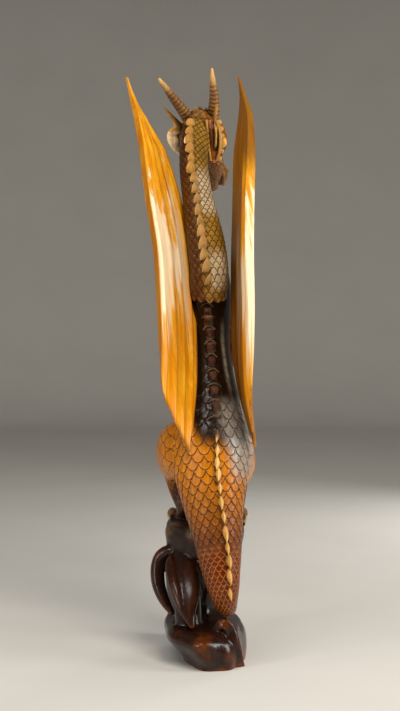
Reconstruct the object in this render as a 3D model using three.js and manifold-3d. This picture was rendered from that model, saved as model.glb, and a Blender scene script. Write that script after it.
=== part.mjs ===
// Carved wooden dragon standing on a rock, wings raised, in millimetres.
// Frame: +Z up, flat underside at Z = 0, the dragon faces -Y, +X is the dragon's left side.

import * as THREE from 'three';
import { mergeVertices } from 'three/addons/utils/BufferGeometryUtils.js';
import Module from 'manifold-3d';

const wasm = await Module();
wasm.setup();

// Gap kept between each wing and the body it is let into.
const JOINT_GAP = 0.3;

// Directions of the frame.
const BACK = new THREE.Vector3(0, 1, 0);
const FRONT = new THREE.Vector3(0, -1, 0);
const UP = new THREE.Vector3(0, 0, 1);

// One cross-section of a limb: its centre, half width, half depth and twist about the limb in degrees.
function station(x, y, z, width, depth = width, twist = 0) {
  return { at: new THREE.Vector3(x, y, z), size: new THREE.Vector3(width, depth, twist) };
}

// Body from the top of the chest down the back and hips to the tail, which bends forward along the rock.
const TRUNK = [
  station(-2, 2, 414, 13, 14, 0),
  station(-2, -3, 397, 18, 19, 0),
  station(-2, -10, 379, 23, 25, 0),
  station(-2, -16, 358, 25.5, 28, 0),
  station(-3, -18, 338, 24, 28, 1),
  station(-4, -13, 308, 22, 26, 4),
  station(-5, -3, 278, 25, 28, 7),
  station(-6, 8, 249, 31, 33, 9),
  station(-6, 18, 220, 37, 37, 10),
  station(-6, 26, 191, 37, 35, 12),
  station(-8, 36, 163, 31, 30, 15),
  station(-11.5, 46, 135, 25.5, 24, 20),
  station(-14.5, 54, 107, 21, 19, 25),
  station(-16.5, 60, 88, 17, 16.5, 25),
  station(-18.5, 60, 71, 12.5, 13, 24),
  station(-21, 48, 61, 9.5, 11, 20),
  station(-24, 28, 64, 8.5, 9, 10),
  station(-28, 8, 76, 7, 7, 0),
  station(-31, -10, 92, 4.5, 4.5, 0),
  station(-30, -22, 106, 2, 2, 0),
];

// Neck from the blunt end that overhangs the back, up and over to the skull.
const NECK = [
  station(-3, 4, 361, 18, 20, -5),
  station(-3.5, 7, 376, 19, 20, 2),
  station(-4, 8, 390, 19, 19.5, 10),
  station(-0.5, 5, 418, 18.5, 18, 13),
  station(7, -6, 458, 15.5, 16, 8),
  station(11, -20, 489, 14.5, 15.5, 10),
  station(11, -37, 514, 14.5, 15, 14),
  station(9, -54, 530, 14.5, 14.5, 14),
  station(6, -68, 532, 12, 12, 8),
];

// Head: where its skull sits and the way it looks; its own sections run from nape to muzzle.
const HEAD_AT = new THREE.Vector3(7, -62, 535);
const HEAD_FACING = new THREE.Vector3(-0.31, -0.69, -0.65);
const SKULL = [
  station(0, 12, -1, 12, 12),
  station(0, 2, 2, 17, 16),
  station(0, -16, 4, 18.5, 16.5),
  station(0, -30, 2, 17, 14),
  station(0, -42, -1, 13, 10.5),
  station(0, -56, -2, 11.5, 9),
  station(0, -68, -2.5, 11.5, 9),
  station(0, -77, -5, 7, 5.5),
];
const JAW = [
  station(0, -2, -11, 13.5, 8),
  station(0, -22, -16, 13.5, 7),
  station(0, -42, -19.5, 10.5, 5.5),
  station(0, -60, -21, 8.5, 5),
  station(0, -69, -20.5, 5.5, 4),
];
const EYE_RADIUS = 5.5;
const EYE_PLACE = new THREE.Vector3(14, -30, 8);
const NOSTRIL_RADIUS = 4.2;
const NOSTRIL_PLACE = new THREE.Vector3(6.2, -68, 4.5);
const BROW = [
  station(15, -4, 12, 3),
  station(15.5, -20, 15.5, 4.5, 4),
  station(13, -36, 12, 4, 3),
  station(8, -48, 8, 2, 1.5),
];
const TEETH_PER_SIDE = 5;
const TOOTH_LENGTH = 6.5;
const TOOTH_RADIUS = 2;
const TOOTH_PITCH = 8;
const FIRST_TOOTH = new THREE.Vector3(6, -72, -8.5);
const LOCKS_PER_CREST = 5;
const LOCK_LENGTH = 17;
const LOCK_PITCH = 4;

// Ear fin: length of its points, the angle they cover, and the web's reach after each as a share of it.
const EAR_SPIKES = [42, 27, 29, 25];
const EAR_SPREAD = 104;
const EAR_THICKNESS = 4;
const EAR_WEBS = [0.62, 1.06, 1.02];
const EAR_ROOT = new THREE.Vector3(12, -9, 2);
const EAR_BACKWARD = new THREE.Vector3(0.43, 0.9, 0.03);
const EAR_DOWNWARD = new THREE.Vector3(0.33, -0.12, -0.93);

// Horns: both sweep back from the brow, each carved to its own curve.
const LEFT_HORN = [
  station(14, -68, 540, 7),
  station(22, -55, 551, 6.4),
  station(33, -40, 564, 4.6),
  station(41, -30, 574, 3.2),
  station(46.5, -24, 581, 1.2),
];
const RIGHT_HORN = [
  station(-6, -73, 536, 7),
  station(-9, -62, 549, 6.4),
  station(-9.5, -50, 565, 4.8),
  station(-8, -40, 579, 3.3),
  station(-7, -33, 592, 1.2),
];

// Hind legs: thigh from hip to knee, shank back to the heel and on to the foot.
const LEFT_THIGH = [
  station(6, 26, 212, 16, 22),
  station(19, 14, 209, 22, 29),
  station(28, -6, 205, 20, 28.5),
  station(33, -28, 193, 15, 21),
  station(34, -44, 184, 8, 11),
];
const RIGHT_THIGH = [
  station(-18, 26, 210, 16, 22),
  station(-27, 14, 203, 20, 29),
  station(-33, -6, 192, 15, 27),
  station(-37, -28, 190, 14, 21),
  station(-36, -44, 184, 8, 11),
];
const LEFT_SHANK = [
  station(33, -40, 185, 11, 11),
  station(27, -20, 166, 9.5, 10),
  station(22, -8, 152, 8, 8),
  station(21, -20, 142, 8, 7),
  station(22, -38, 136, 11, 6.5),
];
const RIGHT_SHANK = [
  station(-35, -40, 185, 11, 11),
  station(-33, -20, 166, 9.5, 10),
  station(-32, -8, 152, 8, 8),
  station(-30, -20, 142, 8, 7),
  station(-28, -38, 136, 11, 6.5),
];
const TOES = 3;
const TOE_SPREAD = 9;
const TOE_LENGTH = 26;
const TOE_RADIUS = 5;

// Fore legs, held bent in front of the belly.
const ARM = [
  station(20, -26, 342, 11, 13),
  station(31, -30, 322, 10.5, 11.5),
  station(35, -36, 302, 8.5, 9),
  station(29, -52, 296, 7.5, 8),
  station(22, -66, 300, 6.5, 7),
  station(19, -74, 302, 7.5, 6),
];
const FINGERS = 3;
const FINGER_SPREAD = 5;
const FINGER_LENGTH = 18;
const FINGER_RADIUS = 3.2;

// Ridge of spines: spacing, height and half width on neck, back and tail.
const NECK_SPINES = { pitch: 10, height: 7, halfWidth: 4.2 };
const BACK_SPINES = { pitch: 13, height: 4.5, halfWidth: 5 };
const TAIL_SPINES = { pitch: 12, height: 7, halfWidth: 4.4 };
const SPINE_SINK = 4;

// Share of the spacing that a spine's tip leans back and that its half length takes up.
const SPINE_LEAN = 0.42;
const SPINE_HALF_LENGTH = 0.56;

// Wings: heights with the inner (arm) edge and the outer (trailing) edge of the plate at each.
function level(z, innerX, innerY, outerX, outerY) {
  return { z, inner: new THREE.Vector2(innerX, innerY), outer: new THREE.Vector2(outerX, outerY) };
}
const LEFT_WING = {
  levels: [
    level(579, 77.2, -1, 77.6, 1),
    level(562, 71.5, -4, 73.5, 7),
    level(540, 61, -8, 67.5, 26),
    level(508, 43, -12, 62, 46),
    level(456, 27, -12, 55.5, 68),
    level(405, 17.5, -8, 47.5, 84),
    level(355, 13, 0, 44.5, 92),
    level(306, 11, 14, 42.5, 96),
    level(265, 11, 38, 42, 98),
    level(222, 13, 58, 37, 96),
  ],
  fingers: [
    { across: 0, foot: 234 },
    { across: 0.12, foot: 213 },
    { across: 0.36, foot: 226 },
    { across: 0.6, foot: 240 },
    { across: 0.88, foot: 264 },
    { across: 1, foot: 288 },
  ],
  rim: 0.6,
};
const RIGHT_WING = {
  levels: [
    level(580, -33, -1, -33.6, 1),
    level(562, -35.5, -4, -38.5, 8),
    level(540, -36, -8, -44, 28),
    level(508, -33, -11, -45, 46),
    level(456, -32, -11, -43, 68),
    level(405, -30.5, -8, -42.5, 84),
    level(355, -30, 0, -44, 92),
    level(306, -31, 8, -44, 95),
    level(265, -37, 18, -44, 92),
    level(216, -48, 34, -50, 66),
  ],
  fingers: [
    { across: 0, foot: 226 },
    { across: 0.3, foot: 216 },
    { across: 0.62, foot: 232 },
    { across: 0.86, foot: 254 },
    { across: 1, foot: 276 },
  ],
  rim: 2.2,
};
const WING_PANEL = 2.6;
const WING_FINGER = 0.9;
const WING_ARM = 2.2;
const WING_PLEAT = 2.2;
const WING_SCALLOP = 6;

// Thickness left at the very tip, and the share of the height over which the plate thins towards it.
const WING_TIP_SHARE = 0.4;
const WING_TIP_ENDS = 0.14;

// Shares of the wing's breadth where the arm ends and the rim begins.
const WING_ARM_ENDS = 0.2;
const WING_RIM_BEGINS = 0.86;

// Rock: cross-sections from the underside to the top the feet stand on.
const ROCK = [
  station(-9, 0, -6, 30, 66),
  station(-9, 0, 3, 31.5, 69),
  station(-6, 1, 13, 35, 75),
  station(0, 1, 24, 40, 77),
  station(2, 0, 31, 39, 75),
  station(3, -5, 36, 36, 67),
  station(7, -21, 39, 30, 45),
  station(8, -26, 54, 30, 39),
  station(6, -25, 84, 34, 43),
  station(1, -25, 110, 38, 46),
  station(1, -25, 124, 40, 46),
  station(1, -25, 132, 37, 43),
  station(1, -25, 135, 28, 33),
];
const ROCK_LOBES = 7;
const ROCK_LOBE_DEPTH = 0.045;

// Swirls carved round the rock: where each starts, how far round it runs, its foot, its top and its fullness.
const SWIRLS = [
  { from: -22, turn: -46, low: 32, high: 102, out: 3, full: 11 },
  { from: -78, turn: -38, low: 26, high: 94, out: 4, full: 12 },
  { from: -112, turn: 36, low: 64, high: 120, out: 3, full: 11 },
  { from: -148, turn: -38, low: 30, high: 104, out: 3, full: 12 },
];

// Broad leaf that leaves the rock's rear face and comes down to a point on the low ledge behind.
const TONGUE = [
  station(24, 0, 104, 9, 6),
  station(21, 14, 96, 14, 8),
  station(19, 28, 85, 15, 8),
  station(17, 40, 72, 13, 7),
  station(16, 49, 57, 8, 6),
  station(12, 57, 40, 2, 3),
];

// Swell of rock that carries the leaf.
const TONGUE_BODY = [
  station(18, -10, 100, 12, 12),
  station(19, 6, 84, 15, 13),
  station(18, 18, 64, 14, 14),
  station(15, 28, 26, 13, 12),
];

// Rolled left edge of that leaf.
const TONGUE_ROLL = [
  station(34, 4, 101, 3),
  station(34, 16, 95, 6),
  station(31.5, 29, 85, 6.5),
  station(28, 40, 73, 6),
  station(23, 49, 59, 4.5),
  station(13, 58, 40, 1.5),
];

// Crescent standing out from the rock's left flank, open towards the leaf.
const CRESCENT = [
  station(30, -2, 104, 3, 4),
  station(37, -6, 105, 6, 6),
  station(45, -9, 98, 7, 7.5),
  station(48, -8, 85, 7.5, 8),
  station(46.5, -3, 70, 7, 7.5),
  station(40.5, 4, 56, 5.5, 6),
  station(32, 10, 44, 3, 4),
];

// Crest running down the ledge's right rear corner from where the tail comes to rest.
const LEDGE_CREST = [
  station(-9, 46, 31, 6, 6),
  station(-18, 54, 43.5, 7, 7),
  station(-24, 53, 36, 7.5, 8),
  station(-27.5, 53, 23, 8, 9),
  station(-30, 49, 10, 8, 8),
  station(-32, 42, -1, 8, 8),
];

// Closed surface to solid.
function solidFrom(geometry) {
  geometry.deleteAttribute('normal');
  geometry.deleteAttribute('uv');
  const merged = mergeVertices(geometry, 1e-4);
  const vertProperties = new Float32Array(merged.attributes.position.array);
  const triVerts = new Uint32Array(merged.index.array);
  return new wasm.Manifold(new wasm.Mesh({ numProp: 3, vertProperties, triVerts }));
}

function joinAll(solids) {
  return solids.reduce((whole, solid) => whole.add(solid));
}

// Smooth spine through the stations, with the direction that faces away from the belly carried along it.
// Sections stand square to the spine, or lie level where `level` is set.
function spineThrough(stations, dorsal, level = false) {
  const samples = 12 * (stations.length - 1);
  const path = new THREE.CatmullRomCurve3(stations.map((s) => s.at), false, 'catmullrom', 0.5);
  const sizes = new THREE.CatmullRomCurve3(stations.map((s) => s.size), false, 'catmullrom', 0.5);
  const frames = [];
  let facing = dorsal.clone();
  for (let i = 0; i <= samples; i += 1) {
    const tangent = level ? UP.clone() : path.getTangent(i / samples);
    facing = facing.clone().addScaledVector(tangent, -facing.dot(tangent)).normalize();
    frames.push({ tangent, facing });
  }
  return (along) => {
    const centre = path.getPoint(along);
    const size = sizes.getPoint(along);
    const { tangent, facing } = frames[Math.round(along * samples)];
    const up = facing.clone().applyAxisAngle(tangent, THREE.MathUtils.degToRad(-size.z));
    const side = new THREE.Vector3().crossVectors(tangent, up);
    return { centre, tangent, up, side, width: Math.max(size.x, 0.4), depth: Math.max(size.y, 0.4) };
  };
}

// Solid of oval sections along a spine. `grow` thickens it all round; `lobes` waves its outline.
function loft(stations, dorsal, sides, rings, { grow = 0, lobes = () => 1, level = false } = {}) {
  const geometry = new THREE.CylinderGeometry(1, 1, 1, sides, rings);
  const spine = spineThrough(stations, dorsal, level);
  const points = geometry.attributes.position;
  for (let i = 0; i < points.count; i += 1) {
    const along = points.getY(i) + 0.5;
    const section = spine(along);
    const swell = lobes(Math.atan2(points.getZ(i), points.getX(i)), along);
    const place = section.centre.clone();
    place.addScaledVector(section.side, points.getX(i) * (section.width * swell + grow));
    place.addScaledVector(section.up, points.getZ(i) * (section.depth * swell + grow));
    points.setXYZ(i, place.x, place.y, place.z);
  }
  return solidFrom(geometry);
}

// Row of pointed spines along the back of a spine, evenly spaced, each leaning towards the far end.
function ridge(stations, dorsal, from, to, { pitch, height, halfWidth }) {
  const spine = spineThrough(stations, dorsal);
  const steps = 240;
  const solids = [];
  let walked = pitch / 2;
  let last = spine(from).centre;
  for (let i = 1; i <= steps; i += 1) {
    const section = spine(from + ((to - from) * i) / steps);
    walked += section.centre.distanceTo(last);
    last = section.centre;
    if (walked >= pitch) {
      walked -= pitch;
      solids.push(ridgeSpine(section, pitch, height, halfWidth, Math.sign(to - from)));
    }
  }
  return solids;
}

function ridgeSpine(section, pitch, height, halfWidth, heading) {
  const scale = Math.min(1, 0.35 + section.depth / 24);
  const geometry = new THREE.ConeGeometry(1, 1, 4, 1);
  const points = geometry.attributes.position;
  for (let i = 0; i < points.count; i += 1) {
    const tip = points.getY(i) + 0.5;
    const place = section.centre.clone();
    place.addScaledVector(section.up, section.depth - SPINE_SINK + tip * (SPINE_SINK + height * scale));
    place.addScaledVector(section.side, points.getX(i) * halfWidth * scale);
    const shift = tip * SPINE_LEAN * heading - points.getZ(i) * SPINE_HALF_LENGTH;
    place.addScaledVector(section.tangent, shift * pitch * scale);
    points.setXYZ(i, place.x, place.y, place.z);
  }
  return solidFrom(geometry);
}

// Position of the head's own frame: x to its left, y to its nape, z to its crown.
function headMatrix() {
  const nape = HEAD_FACING.clone().normalize().negate();
  const left = new THREE.Vector3().crossVectors(nape, UP).normalize();
  const crown = new THREE.Vector3().crossVectors(left, nape);
  return new THREE.Matrix4().makeBasis(left, nape, crown).setPosition(HEAD_AT);
}

function placed(solid, matrix) {
  return solid.transform(matrix.toArray());
}

function mirroredStations(stations) {
  return stations.map(({ at, size }) => station(-at.x, at.y, at.z, size.x, size.y, -size.z));
}

function ball(radius, x, y, z, stretch = 1) {
  const geometry = new THREE.SphereGeometry(radius, 7, 5);
  geometry.scale(1, stretch, 1);
  geometry.translate(x, y, z);
  return solidFrom(geometry);
}

// Flat fan of spikes joined by a web, for the fin behind the cheek.
function earFin(side) {
  const spread = THREE.MathUtils.degToRad(EAR_SPREAD);
  const shape = new THREE.Shape();
  shape.moveTo(0, 0);
  EAR_SPIKES.forEach((reach, i) => {
    const angle = (spread * i) / (EAR_SPIKES.length - 1);
    shape.lineTo(reach * Math.cos(angle), reach * Math.sin(angle));
    if (i < EAR_SPIKES.length - 1) {
      const between = angle + spread / (EAR_SPIKES.length - 1) / 2;
      shape.lineTo(reach * EAR_WEBS[i] * Math.cos(between), reach * EAR_WEBS[i] * Math.sin(between));
    }
  });
  const geometry = new THREE.ExtrudeGeometry(shape, { depth: EAR_THICKNESS, bevelEnabled: false });
  geometry.translate(0, 0, -EAR_THICKNESS / 2);
  const mirror = new THREE.Vector3(side, 1, 1);
  const backward = EAR_BACKWARD.clone().multiply(mirror).normalize();
  const downward = EAR_DOWNWARD.clone().multiply(mirror);
  downward.addScaledVector(backward, -downward.dot(backward)).normalize();
  const across = new THREE.Vector3().crossVectors(backward, downward);
  geometry.applyMatrix4(new THREE.Matrix4().makeBasis(backward, downward, across));
  geometry.translate(EAR_ROOT.x * side, EAR_ROOT.y, EAR_ROOT.z);
  return solidFrom(geometry);
}

// Hair-like locks standing up behind the crown.
function crestLocks() {
  const solids = [];
  for (let i = 0; i < LOCKS_PER_CREST; i += 1) {
    const across = i - (LOCKS_PER_CREST - 1) / 2;
    const reach = LOCK_LENGTH - Math.abs(across) * 3;
    solids.push(loft([
      station(across * LOCK_PITCH, -6, 12, 3.6, 4),
      station(across * LOCK_PITCH * 1.15, -4 + reach * 0.5, 17, 3.2, 3.4),
      station(across * LOCK_PITCH * 1.4, -4 + reach, 17 + reach * 0.2, 0.7),
    ], UP, 5, 4));
  }
  return solids;
}

function fangs() {
  const solids = [];
  for (const side of [-1, 1]) {
    for (let i = 0; i < TEETH_PER_SIDE; i += 1) {
      const x = side * (FIRST_TOOTH.x + Math.min(i, 2) * 1.6);
      const geometry = new THREE.ConeGeometry(TOOTH_RADIUS, TOOTH_LENGTH, 5);
      geometry.rotateX(-Math.PI / 2);
      geometry.translate(x, FIRST_TOOTH.y + i * TOOTH_PITCH, FIRST_TOOTH.z - i * 0.4);
      solids.push(solidFrom(geometry));
    }
  }
  return solids;
}

function head() {
  const forms = [loft(SKULL, UP, 10, 9), loft(JAW, UP, 8, 5), ...crestLocks(), ...fangs()];
  for (const side of [-1, 1]) {
    forms.push(ball(EYE_RADIUS, side * EYE_PLACE.x, EYE_PLACE.y, EYE_PLACE.z, 1.25));
    forms.push(ball(NOSTRIL_RADIUS, side * NOSTRIL_PLACE.x, NOSTRIL_PLACE.y, NOSTRIL_PLACE.z, 1.3));
    forms.push(earFin(side));
    forms.push(loft(side > 0 ? BROW : mirroredStations(BROW), UP, 6, 5));
  }
  return placed(joinAll(forms), headMatrix());
}

// Claws of one foot or hand: tapering toes fanned out in front of the wrist, hooked down at the end.
function claws(start, count, spread, length, radius) {
  const solids = [];
  for (let i = 0; i < count; i += 1) {
    const across = i - (count - 1) / 2;
    const reach = length - Math.abs(across) * 0.12 * length;
    const x = start.x + across * spread;
    const fanned = x + across * spread * 0.45;
    solids.push(loft([
      station(x, start.y + reach * 0.25, start.z, radius * 1.05),
      station((x + fanned) / 2, start.y - reach * 0.35, start.z + radius * 0.5, radius),
      station(fanned, start.y - reach * 0.8, start.z - radius * 0.4, radius * 0.85),
      station(fanned, start.y - reach * 1.08, start.z - radius * 1.6, radius * 0.55),
      station(fanned, start.y - reach * 1.16, start.z - radius * 3, radius * 0.15),
    ], UP, 5, 5));
  }
  return solids;
}

// The masses the wings are let into; `grow` thickens them by the joint gap.
function bodyMasses(grow) {
  return joinAll([
    loft(TRUNK, BACK, 16, 32, { grow }),
    loft(NECK, BACK, 12, 14, { grow }),
    loft(LEFT_THIGH, UP, 10, 7, { grow }),
    loft(RIGHT_THIGH, UP, 10, 7, { grow }),
    loft(ARM, FRONT, 7, 8, { grow }),
    loft(mirroredStations(ARM), FRONT, 7, 8, { grow }),
  ]);
}

function limbsAndRidge() {
  const handAt = ARM[ARM.length - 1].at;
  return [
    loft(LEFT_SHANK, FRONT, 7, 7),
    loft(RIGHT_SHANK, FRONT, 7, 7),
    ...claws(LEFT_SHANK[4].at, TOES, TOE_SPREAD, TOE_LENGTH, TOE_RADIUS),
    ...claws(RIGHT_SHANK[4].at, TOES, TOE_SPREAD, TOE_LENGTH, TOE_RADIUS),
    ...claws(handAt, FINGERS, FINGER_SPREAD, FINGER_LENGTH, FINGER_RADIUS),
    ...claws(handAt.clone().setX(-handAt.x), FINGERS, FINGER_SPREAD, FINGER_LENGTH, FINGER_RADIUS),
    ...ridge(NECK, BACK, 0.86, 0.04, NECK_SPINES),
    ...ridge(TRUNK, BACK, 0.15, 0.385, BACK_SPINES),
    ...ridge(TRUNK, BACK, 0.39, 0.8, TAIL_SPINES),
    loft(LEFT_HORN, UP, 7, 5),
    loft(RIGHT_HORN, UP, 7, 5),
  ];
}

// Leaf-shaped swirl lying on the rock, thin at both ends.
function swirl({ from, turn, low, high, out, full }, rockSection) {
  const stations = [];
  const count = 6;
  for (let i = 0; i <= count; i += 1) {
    const part = i / count;
    const angle = THREE.MathUtils.degToRad(from + turn * part);
    const z = low + (high - low) * part;
    const section = rockSection(z);
    const swell = Math.sin(Math.PI * Math.min(Math.max(part, 0.06), 0.94));
    const x = section.centre.x + Math.cos(angle) * (section.width - full * 0.45 + out * swell);
    const y = section.centre.y + Math.sin(angle) * (section.depth - full * 0.45 + out * swell);
    stations.push(station(x, y, z, full * swell, full * 0.8 * swell));
  }
  return loft(stations, BACK, 6, 6);
}

function rock() {
  const spine = spineThrough(ROCK, BACK, true);
  const steps = 132;
  const rockSection = (z) => {
    let best = spine(0);
    for (let i = 1; i <= steps; i += 1) {
      const section = spine(i / steps);
      best = Math.abs(section.centre.z - z) < Math.abs(best.centre.z - z) ? section : best;
    }
    return best;
  };
  const wave = (angle, along) => 1 + ROCK_LOBE_DEPTH * Math.sin(ROCK_LOBES * angle + 9 * along);
  const body = joinAll([
    loft(ROCK, BACK, 22, 12, { lobes: wave, level: true }),
    ...SWIRLS.map((sizes) => swirl(sizes, rockSection)),
    loft(TONGUE, BACK, 8, 7),
    loft(TONGUE_BODY, BACK, 7, 3),
    loft(TONGUE_ROLL, BACK, 6, 7),
    loft(CRESCENT, BACK, 7, 7),
    loft(LEDGE_CREST, BACK, 4, 5),
  ]);
  const below = new THREE.BoxGeometry(400, 400, 100);
  below.translate(0, 0, -50);
  return body.subtract(solidFrom(below));
}

// Value at one height read off the wing's levels along a smooth curve.
function wingEdges(wing) {
  const heights = wing.levels.map((l) => l.z);
  const curve = (edge) => new THREE.CatmullRomCurve3(
    wing.levels.map((l) => new THREE.Vector3(l[edge].x, l[edge].y, l.z)), false, 'catmullrom', 0.5);
  const inner = curve('inner');
  const outer = curve('outer');
  return (z) => {
    let i = 0;
    while (i < heights.length - 2 && z < heights[i + 1]) i += 1;
    const part = (heights[i] - z) / (heights[i] - heights[i + 1]);
    const along = THREE.MathUtils.clamp((i + part) / (heights.length - 1), 0, 1);
    return { inner: inner.getPoint(along), outer: outer.getPoint(along) };
  };
}

// How far across the panel between two fingers a place lies, and the lowest point of the wing there.
function wingFoot(wing, across) {
  let i = 0;
  while (i < wing.fingers.length - 2 && across > wing.fingers[i + 1].across) i += 1;
  const near = wing.fingers[i];
  const far = wing.fingers[i + 1];
  const part = (across - near.across) / (far.across - near.across);
  const web = Math.sin(Math.PI * part);
  const scallop = WING_SCALLOP * web * Math.min(1, (far.across - near.across) / 0.4);
  return { web, foot: near.foot + (far.foot - near.foot) * part + scallop };
}

// Upright pleated plate: fingers stand out, the web between them sinks in, the rim and arm are thickest.
function wing(sizes, outward) {
  const geometry = new THREE.BoxGeometry(1, 1, 1, 14, 13, 1);
  const edges = wingEdges(sizes);
  const top = sizes.levels[0].z;
  const points = geometry.attributes.position;
  for (let i = 0; i < points.count; i += 1) {
    const across = points.getX(i) + 0.5;
    const down = 0.5 - points.getY(i);
    const { web, foot } = wingFoot(sizes, across);
    const z = top + (foot - top) * down;
    const { inner, outer } = edges(z);
    const place = inner.clone().lerp(outer, across);
    const normal = new THREE.Vector3(outer.y - inner.y, inner.x - outer.x, 0).normalize();
    const fade = THREE.MathUtils.clamp(down * 4, 0.25, 1);
    const rimSwell = Math.sin(Math.PI * Math.min(1, down + 0.1));
    const rim = sizes.rim * rimSwell * THREE.MathUtils.smoothstep(across, WING_RIM_BEGINS, 1);
    const arm = WING_ARM * (1 - down * 0.6) * (1 - THREE.MathUtils.smoothstep(across, 0, WING_ARM_ENDS));
    const slim = WING_TIP_SHARE + (1 - WING_TIP_SHARE) * THREE.MathUtils.smoothstep(down, 0, WING_TIP_ENDS);
    const half = (WING_PANEL + (WING_FINGER * (1 - web) + rim + arm) * fade) * slim;
    const pleat = WING_PLEAT * web * fade;
    place.addScaledVector(normal, Math.sign(points.getZ(i)) * half + outward * pleat);
    points.setXYZ(i, place.x, place.y, z);
  }
  return solidFrom(geometry);
}

function meshOf(solid, name, material) {
  const { vertProperties, triVerts } = solid.getMesh();
  const geometry = new THREE.BufferGeometry();
  geometry.setAttribute('position', new THREE.BufferAttribute(new Float32Array(vertProperties), 3));
  geometry.setIndex(new THREE.BufferAttribute(new Uint32Array(triVerts), 1));
  geometry.computeVertexNormals();
  const mesh = new THREE.Mesh(geometry, material);
  mesh.name = name;
  return mesh;
}

const bodyWood = new THREE.MeshStandardMaterial({ color: 0x7a4216, roughness: 0.38, metalness: 0 });
const wingWood = new THREE.MeshStandardMaterial({ color: 0xc07c1c, roughness: 0.36, metalness: 0 });

const masses = bodyMasses(0);
const seat = bodyMasses(JOINT_GAP);
const dragon = joinAll([masses, head(), rock(), ...limbsAndRidge()]);
const leftWing = wing(LEFT_WING, 1).subtract(seat);
const rightWing = wing(RIGHT_WING, -1).subtract(seat);

const statue = new THREE.Group();
statue.add(meshOf(dragon, 'dragon_and_rock', bodyWood));
statue.add(meshOf(leftWing, 'left_wing', wingWood));
statue.add(meshOf(rightWing, 'right_wing', wingWood));

export default statue;
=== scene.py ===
"""Looks of the carved dragon statue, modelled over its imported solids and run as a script."""

from functools import partial
import math

import bpy
import numpy as np
from mathutils.bvhtree import BVHTree
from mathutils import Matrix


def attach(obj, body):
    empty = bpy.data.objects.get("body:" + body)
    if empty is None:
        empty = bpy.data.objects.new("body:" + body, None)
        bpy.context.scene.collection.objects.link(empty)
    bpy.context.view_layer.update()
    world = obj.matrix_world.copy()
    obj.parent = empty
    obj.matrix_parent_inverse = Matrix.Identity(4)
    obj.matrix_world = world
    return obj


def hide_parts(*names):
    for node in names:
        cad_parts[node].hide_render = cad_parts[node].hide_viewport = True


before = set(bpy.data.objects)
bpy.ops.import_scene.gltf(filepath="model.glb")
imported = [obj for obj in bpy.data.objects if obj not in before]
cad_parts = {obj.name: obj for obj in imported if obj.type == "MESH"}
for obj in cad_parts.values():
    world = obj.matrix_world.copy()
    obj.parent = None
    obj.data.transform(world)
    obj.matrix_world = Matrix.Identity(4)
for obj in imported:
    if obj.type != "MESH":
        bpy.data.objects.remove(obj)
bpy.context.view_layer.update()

bl_info = {
    "name": "Carved dragon statue",
    "version": (1, 0, 0),
    "blender": (4, 5, 0),
    "location": "View3D > Sidebar > Dragon",
    "description": "Carves a scaled wooden dragon with wings on a rock, and sets a plain studio round it",
    "category": "Object",
}

# Shapes are given in millimetres, in the frame of the solids: +Z up, the dragon faces -Y, +X is its left.
MM = 0.001
BACK = (0.0, 1.0, 0.0)
FRONT = (0.0, -1.0, 0.0)
UP = (0.0, 0.0, 1.0)
SLIMMEST = 0.4

# Each station of a form: centre x, y, z, half width, half depth (the width if left out), twist in degrees.

# Body from the top of the chest down the back and hips to the tail, which bends forward along the rock.
TRUNK = (
    (-2, 2, 414, 13, 14),
    (-2, -3, 397, 18, 19),
    (-2, -10, 379, 23, 25),
    (-2, -16, 358, 25.5, 28),
    (-3, -18, 338, 24, 28, 1),
    (-4, -13, 308, 22, 26, 4),
    (-5, -3, 278, 25, 28, 7),
    (-6, 8, 249, 31, 33, 9),
    (-6, 18, 220, 37, 37, 10),
    (-6, 26, 191, 37, 35, 12),
    (-8, 36, 163, 31, 30, 15),
    (-11.5, 46, 135, 25.5, 24, 20),
    (-14.5, 54, 107, 21, 19, 25),
    (-16.5, 60, 88, 17, 16.5, 25),
    (-18.5, 60, 71, 12.5, 13, 24),
    (-21, 48, 61, 9.5, 11, 20),
    (-24, 28, 64, 8.5, 9, 10),
    (-28, 8, 76, 7, 7),
    (-31, -10, 92, 4.5, 4.5),
    (-30, -22, 106, 2, 2),
)

# Neck from the blunt end that overhangs the back, up and over to the skull.
NECK = (
    (-3, 4, 361, 18, 20, -5),
    (-3.5, 7, 376, 19, 20, 2),
    (-4, 8, 390, 19, 19.5, 10),
    (-0.5, 5, 418, 18.5, 18, 13),
    (7, -6, 458, 15.5, 16, 8),
    (11, -20, 489, 14.5, 15.5, 10),
    (11, -37, 514, 14.5, 15, 14),
    (9, -54, 530, 14.5, 14.5, 14),
    (6, -68, 532, 12, 12, 8),
)

# Scallops of the neck's lower edge: depth, number, and how far up they fade.
NECK_SCALLOP = 5.0
NECK_SCALLOPS = 12
NECK_SCALLOP_ENDS = 14

# Head, in a frame of its own: x to its left, y to its nape, z to its crown.
HEAD_AT = (7, -62, 535)
HEAD_FACING = (-0.31, -0.69, -0.65)
SKULL = (
    (0, 12, -1, 12, 12),
    (0, 2, 2, 17, 16),
    (0, -16, 4, 18.5, 16.5),
    (0, -30, 2, 17, 14),
    (0, -42, -1, 13, 10.5),
    (0, -56, -2, 11.5, 9),
    (0, -68, -2.5, 11.5, 9),
    (0, -77, -5, 7, 5.5),
)
JAW = (
    (0, -2, -11, 13.5, 8),
    (0, -22, -16, 13.5, 7),
    (0, -42, -19.5, 10.5, 5.5),
    (0, -60, -21, 8.5, 5),
    (0, -69, -20.5, 5.5, 4),
)
BROW = ((15, -4, 12, 3), (15.5, -20, 15.5, 4.5, 4), (13, -36, 12, 4, 3), (8, -48, 8, 2, 1.5))
CHEEK = ((15, -2, -6, 5, 7), (17, -14, -7, 6.5, 8), (15, -28, -8, 5, 6), (12, -40, -9, 2, 3))
JOWL = ((12, -14, -14, 7, 9), (15, -28, -19, 8.5, 9), (13, -42, -21, 6.5, 7), (10, -54, -21, 3, 4))
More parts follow.
